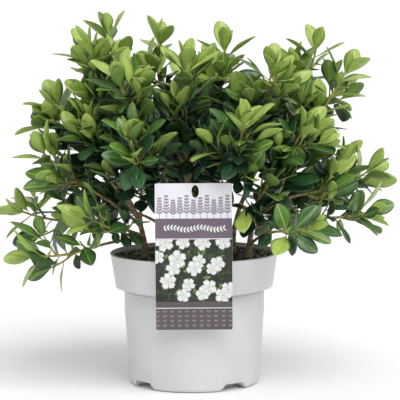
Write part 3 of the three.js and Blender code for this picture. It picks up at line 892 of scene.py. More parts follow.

# %% [markdown]
# ## Tones of the leaves: age and painted shade
# A leaf's tone is partly its age and partly painted shade: leaves under others, low in the crown
# or near its heart are given darker greens, and those open to the sky lighter, more yellowish
# ones. So each leaf looks outwards and up, and counts the leaves that stand in its way. That
# number, with the leaf's age and height, gives its tone.

# %% Count what covers a leaf
CROWN_FOOT = np.array([0.0, 5.0, 130.0])
# The crown's heart, where leaves get painted shade, and how far that shade reaches.
SHADE_HEART_CENTRE = np.array([-5.0, -5.0, 255.0])
SHADE_HEART_REACH = np.array([165.0, 165.0, 115.0])
LOOK_UP = 0.35
COVER_FROM, COVER_WIDTH = 9.0, 13.0


def count_covers(middles):
    """How many leaves stand between each leaf and the open air."""
    aims = middles - CROWN_FOOT
    aims /= np.linalg.norm(aims, axis=1)[:, None]
    aims[:, 2] += LOOK_UP
    aims /= np.linalg.norm(aims, axis=1)[:, None]
    counts = np.zeros(len(middles))
    for i, (spot, aim) in enumerate(zip(middles, aims)):
        offsets = middles - spot
        ahead = offsets @ aim
        beside = np.sum(offsets * offsets, axis=1) - ahead**2
        counts[i] = np.sum((ahead > COVER_FROM) & (beside < COVER_WIDTH**2))
    return counts


covers = count_covers(np.array([middle for _, _, middle, _, _ in leaves_set]))
print("Half the leaves have more than", np.median(covers), "others before them")

# %% Deal out the tones
SHADE_FROM_HEIGHT, SHADE_FULL_BELOW = 350.0, 130  # mm: leaves below this height get painted shade, in full this far below it
BRIGHTEST = -0.6
# Weights: age, then painted shade from leaves in front, from height and from the crown's heart.
BY_AGE, SHADE_BY_COVER, SHADE_BY_DEPTH, SHADE_BY_HEART = 2.2, 0.34, 1.5, 3.8
BY_TWIG, BY_CHANCE = 1.3, 2.6


def tone_of(site, spot, cover, jitter):
    """A leaf's tone from its age and painted shade: NEW for new growth, DEEP for the crown's heart."""
    # Painted shade: darker low in the crown, near its heart and under other leaves.
    low = max(0, min(1, (SHADE_FROM_HEIGHT - spot[2]) / SHADE_FULL_BELOW))
    inner = max(0, 1 - np.linalg.norm((spot - SHADE_HEART_CENTRE) / SHADE_HEART_REACH))
    shaded = SHADE_BY_COVER * cover + SHADE_BY_DEPTH * low + SHADE_BY_HEART * inner
    tone = BRIGHTEST + BY_AGE * site.age + shaded + BY_TWIG * site.tint + BY_CHANCE * jitter
    return int(min(DEEP, max(NEW, tone)))


leaf_kits = [MeshKit() for _ in shoots]
tone_counts = [0 for _ in TONES]
for (index, points, middle, site, jitter), cover in zip(leaves_set, covers):
    tone = tone_of(site, middle, cover, jitter)
    tone_counts[tone] += 1
    number = {"blade": tone, "rib": RIB_OF[tone]}
    number.update({"back": BACK_OF[tone], "back_rib": BACK_RIB_OF[tone]})
    leaf_kits[index].add(points, LEAF_FACES, [number[kind] for kind in LEAF_KINDS])

for shoot, kit in zip(shoots, leaf_kits):
    leaves = kit.build("leaves_" + shoot.mass, LEAF_MATERIALS)
    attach(leaves, "root")
    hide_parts(shoot.mass)
print("leaves of each tone, from new to deep:", tone_counts)

# %% Sweep the twigs
TWIG_SIDES, TWIG_STEP, TWIG_RELIEF = 7, 5, 0.1


def twig_radius(twig):
    return lambda share: lerp(twig.foot, twig.tip, share)


for stem in stems.values():
    kit = MeshKit()
    for shoot, twigs in zip(shoots, twigs_by_shoot):
        if shoot is not stem and shoot.parent is not stem:
            continue
        for twig in twigs:
            steps = max(4, int(twig.course.length * (twig.end - twig.start) / TWIG_STEP))
            ends = (twig.start, twig.end)
            sweep(kit, twig.course, *ends, twig_radius(twig), TWIG_SIDES, steps, TWIG_RELIEF)
    piece = kit.build("twigs_" + stem.name, [young_bark])
    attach(piece, "root")
    print(piece.name, len(piece.data.polygons), "faces")

# %% [markdown]
# ## Pot
# A nursery pot is one thin moulding: a tapering body, a wider collar with a rolled lip over a
# shallow groove, and a flat foot with notches that let water out. Turning a profile gives the
# round parts, and boolean cuts give the notches. A narrow bevel rounds the moulded edges, which
# then catch a line of light.

# %% Sizes of the pot
COLLAR_HEIGHT = 38.5
COLLAR_FOOT_RADIUS = 88.9
SHOULDER_RADIUS = 79.1
WAIST_HEIGHT = 84.0
BASE_RADIUS = 73.5
CHAMFER = 4.0
WALL = 1.6
LIP_HEIGHT, LIP_SWELL, LIP_ROUND = 2.2, 0.1, 0.8
NOTCHES, NOTCH_HEIGHT, NOTCH_TOP, NOTCH_FOOT, NOTCH_REACH = 4, 8.0, 24.0, 39.0, 52.0
FIRST_NOTCH = 37.5
GROOVE_BELOW, GROOVE_WIDTH, GROOVE_DEPTH = 2.4, 1.6, 1.0
COLLAR_FOOT = POT_HEIGHT - COLLAR_HEIGHT
GROOVE_TOP = COLLAR_FOOT - GROOVE_BELOW
print("pot", POT_HEIGHT, "mm high and", 2 * POT_RIM_RADIUS, "mm across its rim")


# %% Turn a profile
def turned(name, profile, sides):
    """A closed body of revolution from (radius, z) pairs that start and end on the axis."""
    kit = MeshKit()
    rings = profile[1:-1]
    points = [(0, 0, profile[0][1]), (0, 0, profile[-1][1])]
    for radius, z in rings:
        for j in range(sides):
            angle = 2 * math.pi * j / sides
            points.append((radius * math.cos(angle), radius * math.sin(angle), z))
    faces = []
    top = 2 + (len(rings) - 1) * sides
    for j in range(sides):
        k = (j + 1) % sides
        faces.append((0, 2 + k, 2 + j))
        faces.append((1, top + j, top + k))
        for i in range(len(rings) - 1):
            low, high = 2 + i * sides, 2 + (i + 1) * sides
            faces.append((low + j, low + k, high + k, high + j))
    kit.add(points, faces, 0)
    return kit.build(name, [pot_plastic])


# %% Notches and cuts
def notch_wedges(name, grow):
    """The four wedges that cut the notches, grown by a distance all round."""
    half, foot, height = NOTCH_TOP / 2 + grow, NOTCH_FOOT / 2 + 2 * grow, NOTCH_HEIGHT + grow
    inner, outer = NOTCH_REACH - grow, POT_RIM_RADIUS
    kit = MeshKit()
    for i in range(NOTCHES):
        turn = math.radians(FIRST_NOTCH + i * 360 / NOTCHES)
        points = []
        for y in (-inner, -outer):
            for x, z in ((-foot, -1), (foot, -1), (half, height), (-half, height)):
                along = x * math.cos(turn) - y * math.sin(turn)
                across = x * math.sin(turn) + y * math.cos(turn)
                points.append((along, across, z))
        faces = [(3, 2, 1, 0), (4, 5, 6, 7), (0, 1, 5, 4), (1, 2, 6, 5), (2, 3, 7, 6), (3, 0, 4, 7)]
        kit.add(points, faces, 0)
    return kit.build(name, [pot_plastic])


def bake_modifiers(piece):
    """Replaces the mesh by what its modifiers make of it."""
    bpy.context.view_layer.update()
    made = piece.evaluated_get(bpy.context.evaluated_depsgraph_get())
    mesh = bpy.data.meshes.new_from_object(made)
    piece.modifiers.clear()
    piece.data = mesh


def cut(piece, tool):
    """Takes one piece out of another and deletes the tool."""
    change = piece.modifiers.new("cut", "BOOLEAN")
    change.operation = "DIFFERENCE"
    change.solver = "EXACT"
    change.object = tool
    bake_modifiers(piece)
    bpy.data.objects.remove(tool)


# %% Cut the pot from its outside and its hollow
POT_SIDES = 120


def collar_radius(z):
    return lerp(COLLAR_FOOT_RADIUS, POT_RIM_RADIUS, (z - COLLAR_FOOT) / COLLAR_HEIGHT)


outside_profile = [
    (0, 0),
    (BASE_RADIUS - CHAMFER, 0),
    (BASE_RADIUS - CHAMFER * 0.45, CHAMFER * 0.22),
    (BASE_RADIUS - 0.4, CHAMFER * 0.75),
    (BASE_RADIUS + 0.1, CHAMFER * 1.3),
    (SHOULDER_RADIUS - 0.4, WAIST_HEIGHT - 4),
    (SHOULDER_RADIUS, WAIST_HEIGHT),
    (SHOULDER_RADIUS, GROOVE_TOP - GROOVE_WIDTH),
    (SHOULDER_RADIUS - GROOVE_DEPTH, GROOVE_TOP - GROOVE_WIDTH),
    (SHOULDER_RADIUS - GROOVE_DEPTH, GROOVE_TOP),
    (SHOULDER_RADIUS, GROOVE_TOP),
    (SHOULDER_RADIUS, COLLAR_FOOT),
    (COLLAR_FOOT_RADIUS, COLLAR_FOOT),
    (collar_radius(POT_HEIGHT - 4) - 0.2, POT_HEIGHT - 4),
    (POT_RIM_RADIUS + LIP_SWELL, POT_HEIGHT - LIP_HEIGHT),
    (POT_RIM_RADIUS + LIP_SWELL, POT_HEIGHT - LIP_ROUND),
    (POT_RIM_RADIUS - 0.7, POT_HEIGHT),
    (0, POT_HEIGHT),
]
inside_profile = [
    (0, WALL),
    (BASE_RADIUS - CHAMFER - WALL, WALL),
    (BASE_RADIUS - WALL, CHAMFER + WALL),
    (SHOULDER_RADIUS - WALL, WAIST_HEIGHT),
    (SHOULDER_RADIUS - WALL, COLLAR_FOOT + WALL),
    (COLLAR_FOOT_RADIUS - WALL, COLLAR_FOOT + WALL),
    (POT_RIM_RADIUS - WALL, POT_HEIGHT + 1),
    (0, POT_HEIGHT + 1),
]
pot = turned("pot_shell", outside_profile, POT_SIDES)
hollow = turned("hollow", inside_profile, POT_SIDES)
cut(hollow, notch_wedges("inner_wedges", WALL))
cut(pot, notch_wedges("wedges", 0))
cut(pot, hollow)
print("cut to", len(pot.data.polygons), "faces")

# %% Round the pot's edges
EDGE_ROUNDING = 0.45
BEVEL_OVER, SHARP_OVER = math.radians(32), math.radians(28)

bevel = pot.modifiers.new("soft_edges", "BEVEL")
bevel.width = EDGE_ROUNDING * MM
bevel.segments = 2
bevel.limit_method = "ANGLE"
bevel.angle_limit = BEVEL_OVER
bake_modifiers(pot)
pot.data.polygons.foreach_set("use_smooth", [True] * len(pot.data.polygons))
pot.data.set_sharp_from_angle(angle=SHARP_OVER)
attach(pot, "root")
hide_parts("pot")
print(pot.name, len(pot.data.polygons), "faces")

# %% [markdown]
# ## Soil
# Nursery peat is a dark, crumbly mix with lighter bits of bark and grit. The filling is one
# closed body whose top is raised and sunk by noise, and many small lumps lie on it. Each lump
# is a rough ball squashed and turned its own way.

# %% The filling
SOIL_RINGS, SOIL_SIDES = 26, 96
SOIL_FOOT, SOIL_FOOT_RADIUS = 12.0, 66.0
SETTLED = 0.6  # mm that the surface lies lower than the solid's, on average
SWELLS, SWELL_HEIGHT = 0.035, 1.6
RIPPLES, RIPPLE_HEIGHT = 0.2, 0.9
HEAP, HEAP_FROM, HEAP_WIDTH = 2.6, 70, 20  # mm: how the soil rises towards the wall
soil_edge = collar_radius(SOIL_TOP) - WALL - GAP


def soil_height(x, y):
    """Height of the soil's surface, gently uneven and heaped a little at the pot's wall."""
    coarse = noise.noise(Vector((x * SWELLS, y * SWELLS, 3.0))) * SWELL_HEIGHT
    fine = noise.noise(Vector((x * RIPPLES, y * RIPPLES, 7.0))) * RIPPLE_HEIGHT
    edge = max(0, (math.hypot(x, y) - HEAP_FROM) / HEAP_WIDTH)
    return SOIL_TOP - SETTLED + coarse + fine + HEAP * edge


kit = MeshKit()
clear = WALL + GAP
points = [(0, 0, SOIL_FOOT)]
ledge = COLLAR_FOOT + clear
ring_sizes = [(SOIL_FOOT_RADIUS, SOIL_FOOT)]
ring_sizes += [(SHOULDER_RADIUS - clear, ledge), (COLLAR_FOOT_RADIUS - clear, ledge)]
ring_sizes += [(soil_edge * (1 - i / SOIL_RINGS), None) for i in range(SOIL_RINGS)]
for radius, z in ring_sizes:
    for j in range(SOIL_SIDES):
        angle = 2 * math.pi * j / SOIL_SIDES
        x, y = radius * math.cos(angle), radius * math.sin(angle)
        points.append((x, y, z if z is not None else soil_height(x, y)))
points.append((0, 0, soil_height(0, 0)))
faces = []
last = 1 + (len(ring_sizes) - 1) * SOIL_SIDES
for j in range(SOIL_SIDES):
    k = (j + 1) % SOIL_SIDES
    faces.append((0, 1 + k, 1 + j))
    for i in range(len(ring_sizes) - 1):
        low, high = 1 + i * SOIL_SIDES, 1 + (i + 1) * SOIL_SIDES
        faces.append((low + j, low + k, high + k, high + j))
    faces.append((last + j, last + k, len(points) - 1))
kit.add(points, faces, 0)
soil = kit.build("soil_body", [peat])
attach(soil, "root")
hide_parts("soil")
print(soil.name, len(soil.data.polygons), "faces")

# %% The shape of a crumb
LUMP_RINGS = ((0.55, 0.85), (-0.15, 1.0), (-0.7, 0.65))  # height and width of each ring


def lump(radius):
    """Points and faces of a ball with three rings of six points."""
    points = [(0, 0, radius)]
    for height, width in LUMP_RINGS:
        for j in range(6):
            turn = j * math.pi / 3
            reach = width * radius
            points.append((reach * math.cos(turn), reach * math.sin(turn), height * radius))
    points.append((0, 0, -radius))
    faces = []
    for j in range(6):
        k = (j + 1) % 6
        faces += [(0, 1 + j, 1 + k), (13 + j, 19, 13 + k)]
        faces += [(1 + j, 7 + j, 7 + k, 1 + k), (7 + j, 13 + j, 13 + k, 7 + k)]
    return np.array(points), faces


# %% Crumbs on the soil
CRUMBS = 1700
TOWARDS_WALL = 0.42  # under 0.5 the crumbs crowd towards the wall
CRUMB_SIZE, CRUMB_SPREAD = 0.9, 3.3
CRUMB_LENGTH, CRUMB_WIDTH, CRUMB_HEIGHT = 1.15, (0.5, 1.0), (0.4, 0.75)
LUMPINESS, LUMP_SCALE = 0.28, 0.9
CRUMB_LIFT = 0.12
PALE_UP_TO, GREY_UP_TO = 0.14, 0.5
FULL_TURN = 6.28

kit = MeshKit()
random = seeded(CRUMB_SEED)
for _ in range(CRUMBS):
    share = random() ** TOWARDS_WALL
    turn = random() * 2 * math.pi
    size = CRUMB_SIZE + CRUMB_SPREAD * random() ** 2
    reach = min(soil_edge * share, soil_edge - 1.5 * size)
    x, y = reach * math.cos(turn), reach * math.sin(turn)
    points, faces = lump(size)
    points *= [CRUMB_LENGTH, lerp(*CRUMB_WIDTH, random()), lerp(*CRUMB_HEIGHT, random())]
    bumps = [noise.noise(Vector(p) * LUMP_SCALE + Vector((x, y, size))) for p in points]
    points *= 1 + LUMPINESS * np.array(bumps)[:, None]
    spin = np.array(Matrix.Rotation(random() * FULL_TURN, 3, "Z"))
    place = np.array([x, y, soil_height(x, y) + size * CRUMB_LIFT])
    kind = random()
    tone = 2 if kind < PALE_UP_TO else 1 if kind < GREY_UP_TO else 0
    kit.add(points @ spin + place, faces, tone)
crumbs = kit.build("soil_crumbs", [crumb_dark, crumb_grey, crumb_pale], smooth=False)
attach(crumbs, "root")
print("soil with", CRUMBS, "crumbs")

# %% [markdown]
# ## Label
# A printed plastic card hangs on the rim. Its body is cut from a curve with a hole in it, and
# the print is a stack of very thin coloured shapes on the front: a pale field with small
# sprigs, a mauve band with a garland, a picture field of white blossoms over dark leaves, and a
# band of small paired leaves. It carries no words. Thin meshes keep the print sharp from any
# distance.

# %% Inks
def ink(name, low, high, size):
    """A satin printing ink that wavers between two close tones."""
    return finish(name, [shade(*low), shade(*high)], size, 0.36, bump=0.03)


card_white = finish("card_white", [shade(236, 236, 238), shade(242, 242, 243)], 60, 0.38, bump=0.03)
INKS = [
    ink("ink_lilac", (226, 224, 233), (234, 232, 239), 25),
    ink("ink_mauve", (100, 88, 101), (107, 95, 108), 40),
    card_white,
    ink("ink_night", (20, 26, 18), (36, 46, 29), 160),
    ink("ink_leaf", (36, 56, 30), (56, 80, 42), 200),
    ink("ink_petal", (214, 216, 214), (238, 238, 236), 220),
    ink("ink_shadow", (168, 171, 172), (190, 193, 191), 220),
    ink("ink_heart", (168, 178, 116), (190, 196, 140), 300),
    ink("ink_sprig", (142, 134, 146), (152, 144, 156), 80),
    ink("ink_fresh", (92, 114, 56), (116, 138, 72), 220),
    ink("ink_umber", (82, 74, 78), (89, 81, 85), 60),
    ink("ink_fold", (192, 195, 194), (212, 214, 212), 240),
]
LILAC, MAUVE, WHITE, NIGHT, LEAF, PETAL, SHADOW, HEART, SPRIG, FRESH, UMBER, FOLD = range(12)
print(len(INKS), "inks")

# %% Outlines of the card and its hole
LABEL_THICKNESS = 0.5
CORNER, CORNER_STEPS = 2.0, 6
HOLE_X, HOLE_BELOW_TOP, HOLE_WIDTH, HOLE_HEIGHT, HOLE_SIDES = 2.0, 9.0, 8.0, 14.0, 40


def rounded_outline(width, height, corner):
    """A rectangle with round corners that stands on the axis, counter-clockwise."""
    right, left, top = width / 2 - corner, -width / 2 + corner, height - corner
    points = []
    for cx, cz, start in ((right, corner, -90), (right, top, 0), (left, top, 90), (left, corner, 180)):
        for i in range(CORNER_STEPS + 1):
            angle = math.radians(start + i * 90 / CORNER_STEPS)
            points.append((cx + corner * math.cos(angle), cz + corner * math.sin(angle)))
    return points


def oval_outline(cx, cz, width, height, count):
    """An oval as a ring of points, counter-clockwise."""
    angles = [2 * math.pi * i / count for i in range(count)]
    return [(cx + width / 2 * math.cos(a), cz + height / 2 * math.sin(a)) for a in angles]


# %% The card
def sheet_with_hole(name, outline, hole, depth, material):
    """A flat sheet with a hole, from a filled 2-D curve, standing up in the XZ plane."""
    curve = bpy.data.curves.new(name, "CURVE")
    curve.dimensions = "2D"
    curve.fill_mode = "BOTH"
    curve.extrude = depth / 2 * MM
    for ring in (outline, hole):
        spline = curve.splines.new("POLY")
        spline.points.add(len(ring) - 1)
        for point, (x, z) in zip(spline.points, ring):
            point.co = (x * MM, z * MM, 0, 1)
        spline.use_cyclic_u = True
    shaper = bpy.data.objects.new(name + "_curve", curve)
    scene.collection.objects.link(shaper)
    bpy.context.view_layer.update()
    depsgraph = bpy.context.evaluated_depsgraph_get()
    mesh = bpy.data.meshes.new_from_object(shaper.evaluated_get(depsgraph))
    bpy.data.objects.remove(shaper)
    mesh.transform(Matrix.Rotation(math.pi / 2, 4, "X"))
    mesh.materials.clear()
    mesh.materials.append(material)
    sheet = bpy.data.objects.new(name, mesh)
    scene.collection.objects.link(sheet)
    return sheet


hole_middle = LABEL_HEIGHT - HOLE_BELOW_TOP
outline = rounded_outline(LABEL_WIDTH, LABEL_HEIGHT, CORNER)
hole = oval_outline(HOLE_X, hole_middle, HOLE_WIDTH, HOLE_HEIGHT, HOLE_SIDES)
card = sheet_with_hole("card", outline, hole, LABEL_THICKNESS, card_white)
card_middle = LABEL_FRONT + LABEL_THICKNESS / 2
card.data.transform(Matrix.Translation((0, card_middle * MM, LABEL_BOTTOM * MM)))
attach(card, "root")
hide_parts("label_card")
print("card", LABEL_WIDTH, "by", LABEL_HEIGHT, "mm")

# %% The hook over the rim
HOOK_WIDTH, HOOK_REACH = 30.0, 6.5
HOOK_ABOVE_SOIL = 3.5


def box_part(kit, low, high):
    """A block between two opposite corners."""
    xs, ys, zs = zip(low, high)
    points = [(x, y, z) for z in zs for y in ys for x in xs]
    faces = [(0, 2, 3, 1), (4, 5, 7, 6), (0, 1, 5, 4), (2, 6, 7, 3), (0, 4, 6, 2), (1, 3, 7, 5)]
    kit.add(points, faces, 0)


kit = MeshKit()
half = HOOK_WIDTH / 2
hook_top = POT_HEIGHT + GAP + LABEL_THICKNESS
hook_bend = hook_top - LABEL_THICKNESS
leg_front = LABEL_FRONT + HOOK_REACH - LABEL_THICKNESS / 2
leg_back = LABEL_FRONT + HOOK_REACH + LABEL_THICKNESS / 2
box_part(kit, (-half, LABEL_FRONT + LABEL_THICKNESS, hook_bend), (half, leg_back, hook_top))
box_part(kit, (-half, leg_front, SOIL_TOP + HOOK_ABOVE_SOIL), (half, leg_back, hook_bend))
hook = kit.build("card_hook", [card_white], smooth=False)
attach(hook, "root")
print("hook", HOOK_WIDTH, "mm wide,", len(hook.data.polygons), "faces")

# %% Layers of print
PRINT_EDGE = LABEL_WIDTH / 2 - 0.1
PRINT_BACK, FIELD_THICKNESS = 0.005, 0.012
LEVEL = 0.002  # mm from one printed layer to the next


class Print:
    """Stacks thin flat shapes on the card's front: a higher level covers a lower one."""

    def __init__(self):
        self.kit = MeshKit()
        self.highest = 0

    def add(self, outline, number, level):
        """One flat shape, as a thin closed plate, given counter-clockwise as seen from the front."""
        self.highest = max(self.highest, level)
        back = LABEL_FRONT - PRINT_BACK
        front = LABEL_FRONT - FIELD_THICKNESS - level * LEVEL
        count = len(outline)
        points = [(x, back, LABEL_BOTTOM + z) for x, z in outline]
        points += [(x, front, LABEL_BOTTOM + z) for x, z in outline]
        faces = [tuple(reversed(range(count))), tuple(range(count, 2 * count))]
        faces += [(j, (j + 1) % count, count + (j + 1) % count, count + j) for j in range(count)]
        self.kit.add(points, faces, number)

    def band(self, low, high, number, level=1):
        edge = PRINT_EDGE
        self.add([(-edge, low), (edge, low), (edge, high), (-edge, high)], number, level)


def clipped(outline, low, high):
    """The outline kept inside a field of the print."""
    edge = PRINT_EDGE
    return [(min(max(x, -edge), edge), min(max(z, low), high)) for x, z in outline]


# %% Shapes of petals, strokes and leaflets
HALF_STEPS = 7  # steps on each half of a petal's edge or a leaflet's
PETAL_ROUNDING, RUFFLE, RUFFLES = 0.3, 0.045, 8


def petal(cx, cz, turn, radius, spread, phase):
    """One petal: a fan from a blossom's middle with a rounded, ruffled outer edge."""
    points = [(cx, cz)]
    for i in range(2 * HALF_STEPS + 1):
        share = i / HALF_STEPS - 1
        angle = turn + share * spread
        ruffle = RUFFLE * math.sin(share * RUFFLES + phase)
        reach = radius * (1 - PETAL_ROUNDING * abs(share) ** 3 + ruffle)
        points.append((cx + reach * math.cos(angle), cz + reach * math.sin(angle)))
    return points


def stroke(cx, cz, turn, start, end, width):
    """A thin straight line in one direction, between two distances from a point."""
    along = (math.cos(turn), math.sin(turn))
    half = width / 2
    corners = ((start, -half), (end, -half), (end, half), (start, half))
    return [(cx + u * along[0] - v * along[1], cz + u * along[1] + v * along[0]) for u, v in corners]


def leaflet(cx, cz, turn, length, width):
    """A small pointed leaf that sets off from a point."""
    points = []
    for i in range(2 * HALF_STEPS):
        share = i / HALF_STEPS
        along = share if share <= 1 else 2 - share
        side = -1 if share < 1 else 1
        u, v = along * length, side * width / 2 * math.sin(math.pi * along**0.9)
        x = u * math.cos(turn) - v * math.sin(turn)
        z = u * math.sin(turn) + v * math.cos(turn)
        points.append((cx + x, cz + z))
    return points


# %% Bands of colour
BAND_TOP, PICTURE_TOP, RULE_TOP, FOOT_TOP = 122.5, 100.5, 31.0, 24.3
WIDE_LINE, THIN_LINE = 0.8, 0.7
CORNER_BAND = 2 * CORNER + 4  # the strip at the foot that has the card's round corners

art = Print()
art.band(PICTURE_TOP, BAND_TOP, MAUVE)
art.band(PICTURE_TOP - WIDE_LINE, PICTURE_TOP, WHITE)
art.band(RULE_TOP, PICTURE_TOP - WIDE_LINE, NIGHT)
art.band(FOOT_TOP, RULE_TOP, UMBER)
art.band(FOOT_TOP - THIN_LINE, FOOT_TOP, WHITE)
art.add(rounded_outline(2 * PRINT_EDGE, CORNER_BAND, CORNER), UMBER, 1)
art.band(CORNER, FOOT_TOP - THIN_LINE, UMBER, level=2)
print("printed", art.kit.count, "points of bands")

# %% Dark leaves of the picture
LEAFLETS, LEAFLET_LEVELS = 150, 9
LEAFLET_LENGTH, LEAFLET_SHARE = (4.5, 8.5), 0.42  # its width is a share of its length
DARK_LEAFLETS = 0.62
PICTURE_LOW, PICTURE_HIGH = RULE_TOP + 0.2, PICTURE_TOP - 1.0
MIDDLES_SIDE, MIDDLES_LOW, MIDDLES_HIGH = 40, RULE_TOP + 1, PICTURE_TOP - 2
random = seeded(PRINT_SEED)


def picture(outline, number, level):
    """Prints a shape inside the picture field."""
    art.add(clipped(outline, PICTURE_LOW, PICTURE_HIGH), number, level)


for i in range(LEAFLETS):
    cx = lerp(-MIDDLES_SIDE, MIDDLES_SIDE, random())
    cz = lerp(MIDDLES_LOW, MIDDLES_HIGH, random())
    ink_number = LEAF if random() < DARK_LEAFLETS else FRESH
    size = lerp(*LEAFLET_LENGTH, random())
    blade = leaflet(cx, cz, random() * FULL_TURN, size, size * LEAFLET_SHARE)
    picture(blade, ink_number, 2 + i % LEAFLET_LEVELS)
print("printed", LEAFLETS, "leaflets")

# %% White blossoms over the leaves
# They stand in slanting rows, and every second row is set off by half a step. A row further
# down lies on top.
BLOSSOM_ROWS, BLOSSOMS_IN_ROW = 5, 4
FIRST_X, STEP_X, SLANT_X, OFFSET_X = -33, 21.5, 5.4, 11
FIRST_BELOW, STEP_Z, SLANT_Z = 5, 14.2, 3.2
SCATTER = 2.4
BLOSSOM_RADIUS = (7.2, 10.4)
PETALS, FIFTH = 5, 2 * math.pi / 5
PETAL_TONES = ((1, 0.62, SHADOW), (0.95, 0.57, FOLD), (0.9, 0.44, PETAL))  # size, spread, ink
VEINS, VEIN_FROM, VEIN_TO, VEIN_WIDTH = (-0.24, 0, 0.2), 0.22, 0.72, 0.26
HEART_WIDTH, HEART_SIDES = 0.26, 12
VEIN_LEVEL, HEART_LEVEL, BLOSSOM_LEVELS = 3, 4, 5


def blossom(cx, cz, radius, turn, phase, level):
    """Five petals, each in three tones with fine veins, and a heart on top."""
    for k in range(PETALS):
        aim = turn + k * FIFTH
        for depth, (grown, spread, tone) in enumerate(PETAL_TONES):
            picture(petal(cx, cz, aim, radius * grown, spread, phase + k), tone, level + depth)
        for side in VEINS:
            vein = stroke(cx, cz, aim + side, radius * VEIN_FROM, radius * VEIN_TO, VEIN_WIDTH)
            picture(vein, SHADOW, level + VEIN_LEVEL)
    across = radius * HEART_WIDTH
    heart = oval_outline(cx, cz, across, across, HEART_SIDES)
    picture(heart, HEART, level + HEART_LEVEL)


level = 2 + LEAFLET_LEVELS
for row in range(BLOSSOM_ROWS):
    odd = row % 2
    for i in range(BLOSSOMS_IN_ROW):
        cx = FIRST_X + STEP_X * i + SLANT_X * row - OFFSET_X * odd + SCATTER * (random() - 0.5)
        fall = PICTURE_TOP - FIRST_BELOW - STEP_Z * row - SLANT_Z * i * odd
        cz = fall + SCATTER * (random() - 0.5)
        radius = lerp(*BLOSSOM_RADIUS, random())
        turn, phase = random() * FULL_TURN, random() * FULL_TURN
        if abs(cx) <= MIDDLES_SIDE and cz >= MIDDLES_LOW:
            blossom(cx, cz, radius, turn, phase, level)
            level += BLOSSOM_LEVELS
print("printed blossoms up to level", art.highest)

# %% A garland along the mauve band
GARLAND_STEPS, GARLAND_PITCH, GARLAND_LINE = 18, 3.6, 0.4
GARLAND_SWAY, SWAY_PACE = 1.5, 0.7
GARLAND_LEAF, GARLAND_OPENING = (4.2, 1.5), 0.9
middle_of_band = (PICTURE_TOP + BAND_TOP) / 2


def garland_height(i):
    return middle_of_band + GARLAND_SWAY * math.sin(i * SWAY_PACE)


for i in range(GARLAND_STEPS + 1):
    x, z = (i - GARLAND_STEPS / 2) * GARLAND_PITCH, garland_height(i)
    slope = math.atan2(garland_height(i + 1) - z, GARLAND_PITCH)
    if i < GARLAND_STEPS:
        art.add(stroke(x, z, slope, 0, GARLAND_PITCH + 0.1, GARLAND_LINE), WHITE, 2)
    for turn in (slope + GARLAND_OPENING, slope - GARLAND_OPENING):
        art.add(leaflet(x, z, turn, *GARLAND_LEAF), WHITE, 3)
print("garland", GARLAND_STEPS * GARLAND_PITCH, "mm long")

# %% Pairs of small leaves on the lowest band
COLUMNS, COLUMN_PITCH = 11, 8.0
PAIRS, FIRST_PAIR, PAIR_PITCH = 4, 3.4, 5.2
PAIR_LEAF, PAIR_OPENING = (3.5, 1.1), 0.9

for i in range(COLUMNS):
    x = (i - COLUMNS // 2) * COLUMN_PITCH
    for row in range(PAIRS):
        for turn in (PAIR_OPENING, math.pi - PAIR_OPENING):
            art.add(leaflet(x, FIRST_PAIR + row * PAIR_PITCH, turn, *PAIR_LEAF), SPRIG, 3)
print(COLUMNS * PAIRS, "pairs")

# %% Sprigs on the pale field
SPRIGS, SPRIG_PITCH = 11, 7.4
SPRIG_TALL, SPRIG_VARIES, SPRIG_PACE = 23, 3, 2.1
STALK_FOOT, STALK_TIP = 0.4, 0.2
SPRIG_PAIRS, LOWEST_PAIR, PAIR_STEP, SPRIG_OPENING = 6, 0.22, 0.14, 0.75
SPRIG_LEAF, LEAF_SHRINKS, SPRIG_LEAF_WIDTH = 5.6, 0.5, 2.3

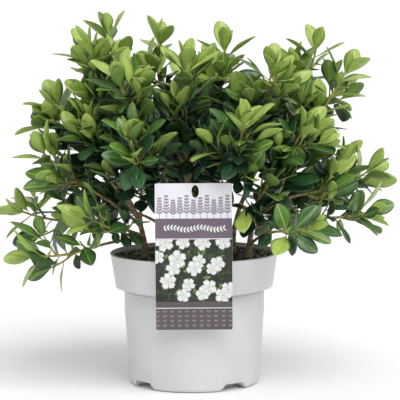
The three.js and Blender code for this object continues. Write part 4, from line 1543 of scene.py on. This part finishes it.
for i in range(SPRIGS):
    x = (i - SPRIGS // 2) * SPRIG_PITCH
    tall = SPRIG_TALL + SPRIG_VARIES * math.sin(i * SPRIG_PACE)
    foot, tip = BAND_TOP, BAND_TOP + tall
    stalk = [(x - STALK_FOOT, foot), (x + STALK_FOOT, foot), (x + STALK_TIP, tip), (x - STALK_TIP, tip)]
    art.add(stalk, SPRIG, 1)
    for k in range(SPRIG_PAIRS):
        z = BAND_TOP + tall * (LOWEST_PAIR + PAIR_STEP * k)
        for turn in (SPRIG_OPENING, math.pi - SPRIG_OPENING):
            length = SPRIG_LEAF - LEAF_SHRINKS * k
            art.add(leaflet(x, z, turn, length, SPRIG_LEAF_WIDTH), SPRIG, 2)
print(SPRIGS, "sprigs")

# %% Put the print on the card
FIELD_INSET, HOLE_MARGIN = 0.1, 0.4

printed = art.kit.build("card_print", INKS, smooth=False)
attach(printed, "root")

field_size = (LABEL_WIDTH - 2 * FIELD_INSET, LABEL_HEIGHT - 2 * FIELD_INSET)
field_outline = rounded_outline(*field_size, CORNER)
hole_size = (HOLE_WIDTH + 2 * HOLE_MARGIN, HOLE_HEIGHT + 2 * HOLE_MARGIN)
field_hole = oval_outline(HOLE_X, hole_middle, *hole_size, HOLE_SIDES)
field = sheet_with_hole("card_field", field_outline, field_hole, FIELD_THICKNESS, INKS[LILAC])
field_middle = LABEL_FRONT - FIELD_THICKNESS / 2
field_foot = LABEL_BOTTOM + FIELD_INSET
field.data.transform(Matrix.Translation((0, field_middle * MM, field_foot * MM)))
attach(field, "root")
print("print", round(FIELD_THICKNESS + art.highest * LEVEL, 2), "mm proud of the card")

# %% [markdown]
# ## Floor
# A plain pale floor carries the pot and catches a faint shadow.

# %% Lay the floor
FLOOR_REACH = 40000.0
FLOOR_BELOW = 0.0004
FLOOR_CORNERS = ((-1, -1), (1, -1), (1, 1), (-1, 1))

floor_paint = finish("floor_paint", [shade(250, 250, 250), shade(251, 251, 251)], 2, 0.9)
kit = MeshKit()
kit.add([(FLOOR_REACH * x, FLOOR_REACH * y, 0) for x, y in FLOOR_CORNERS], [(0, 1, 2, 3)], 0)
floor = kit.build("floor", [floor_paint], smooth=False)
floor.location.z = -FLOOR_BELOW
floor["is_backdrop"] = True
print("floor laid", 1000 * FLOOR_BELOW, "mm below the pot")

# %% Measure and finish
visual_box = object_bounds()
for axis, low, high, cad_low, cad_high in zip("XYZ", *visual_box, *cad_box):
    print(axis, "visual", round(low, 3), round(high, 3), "frame", round(cad_low, 3), round(cad_high, 3))
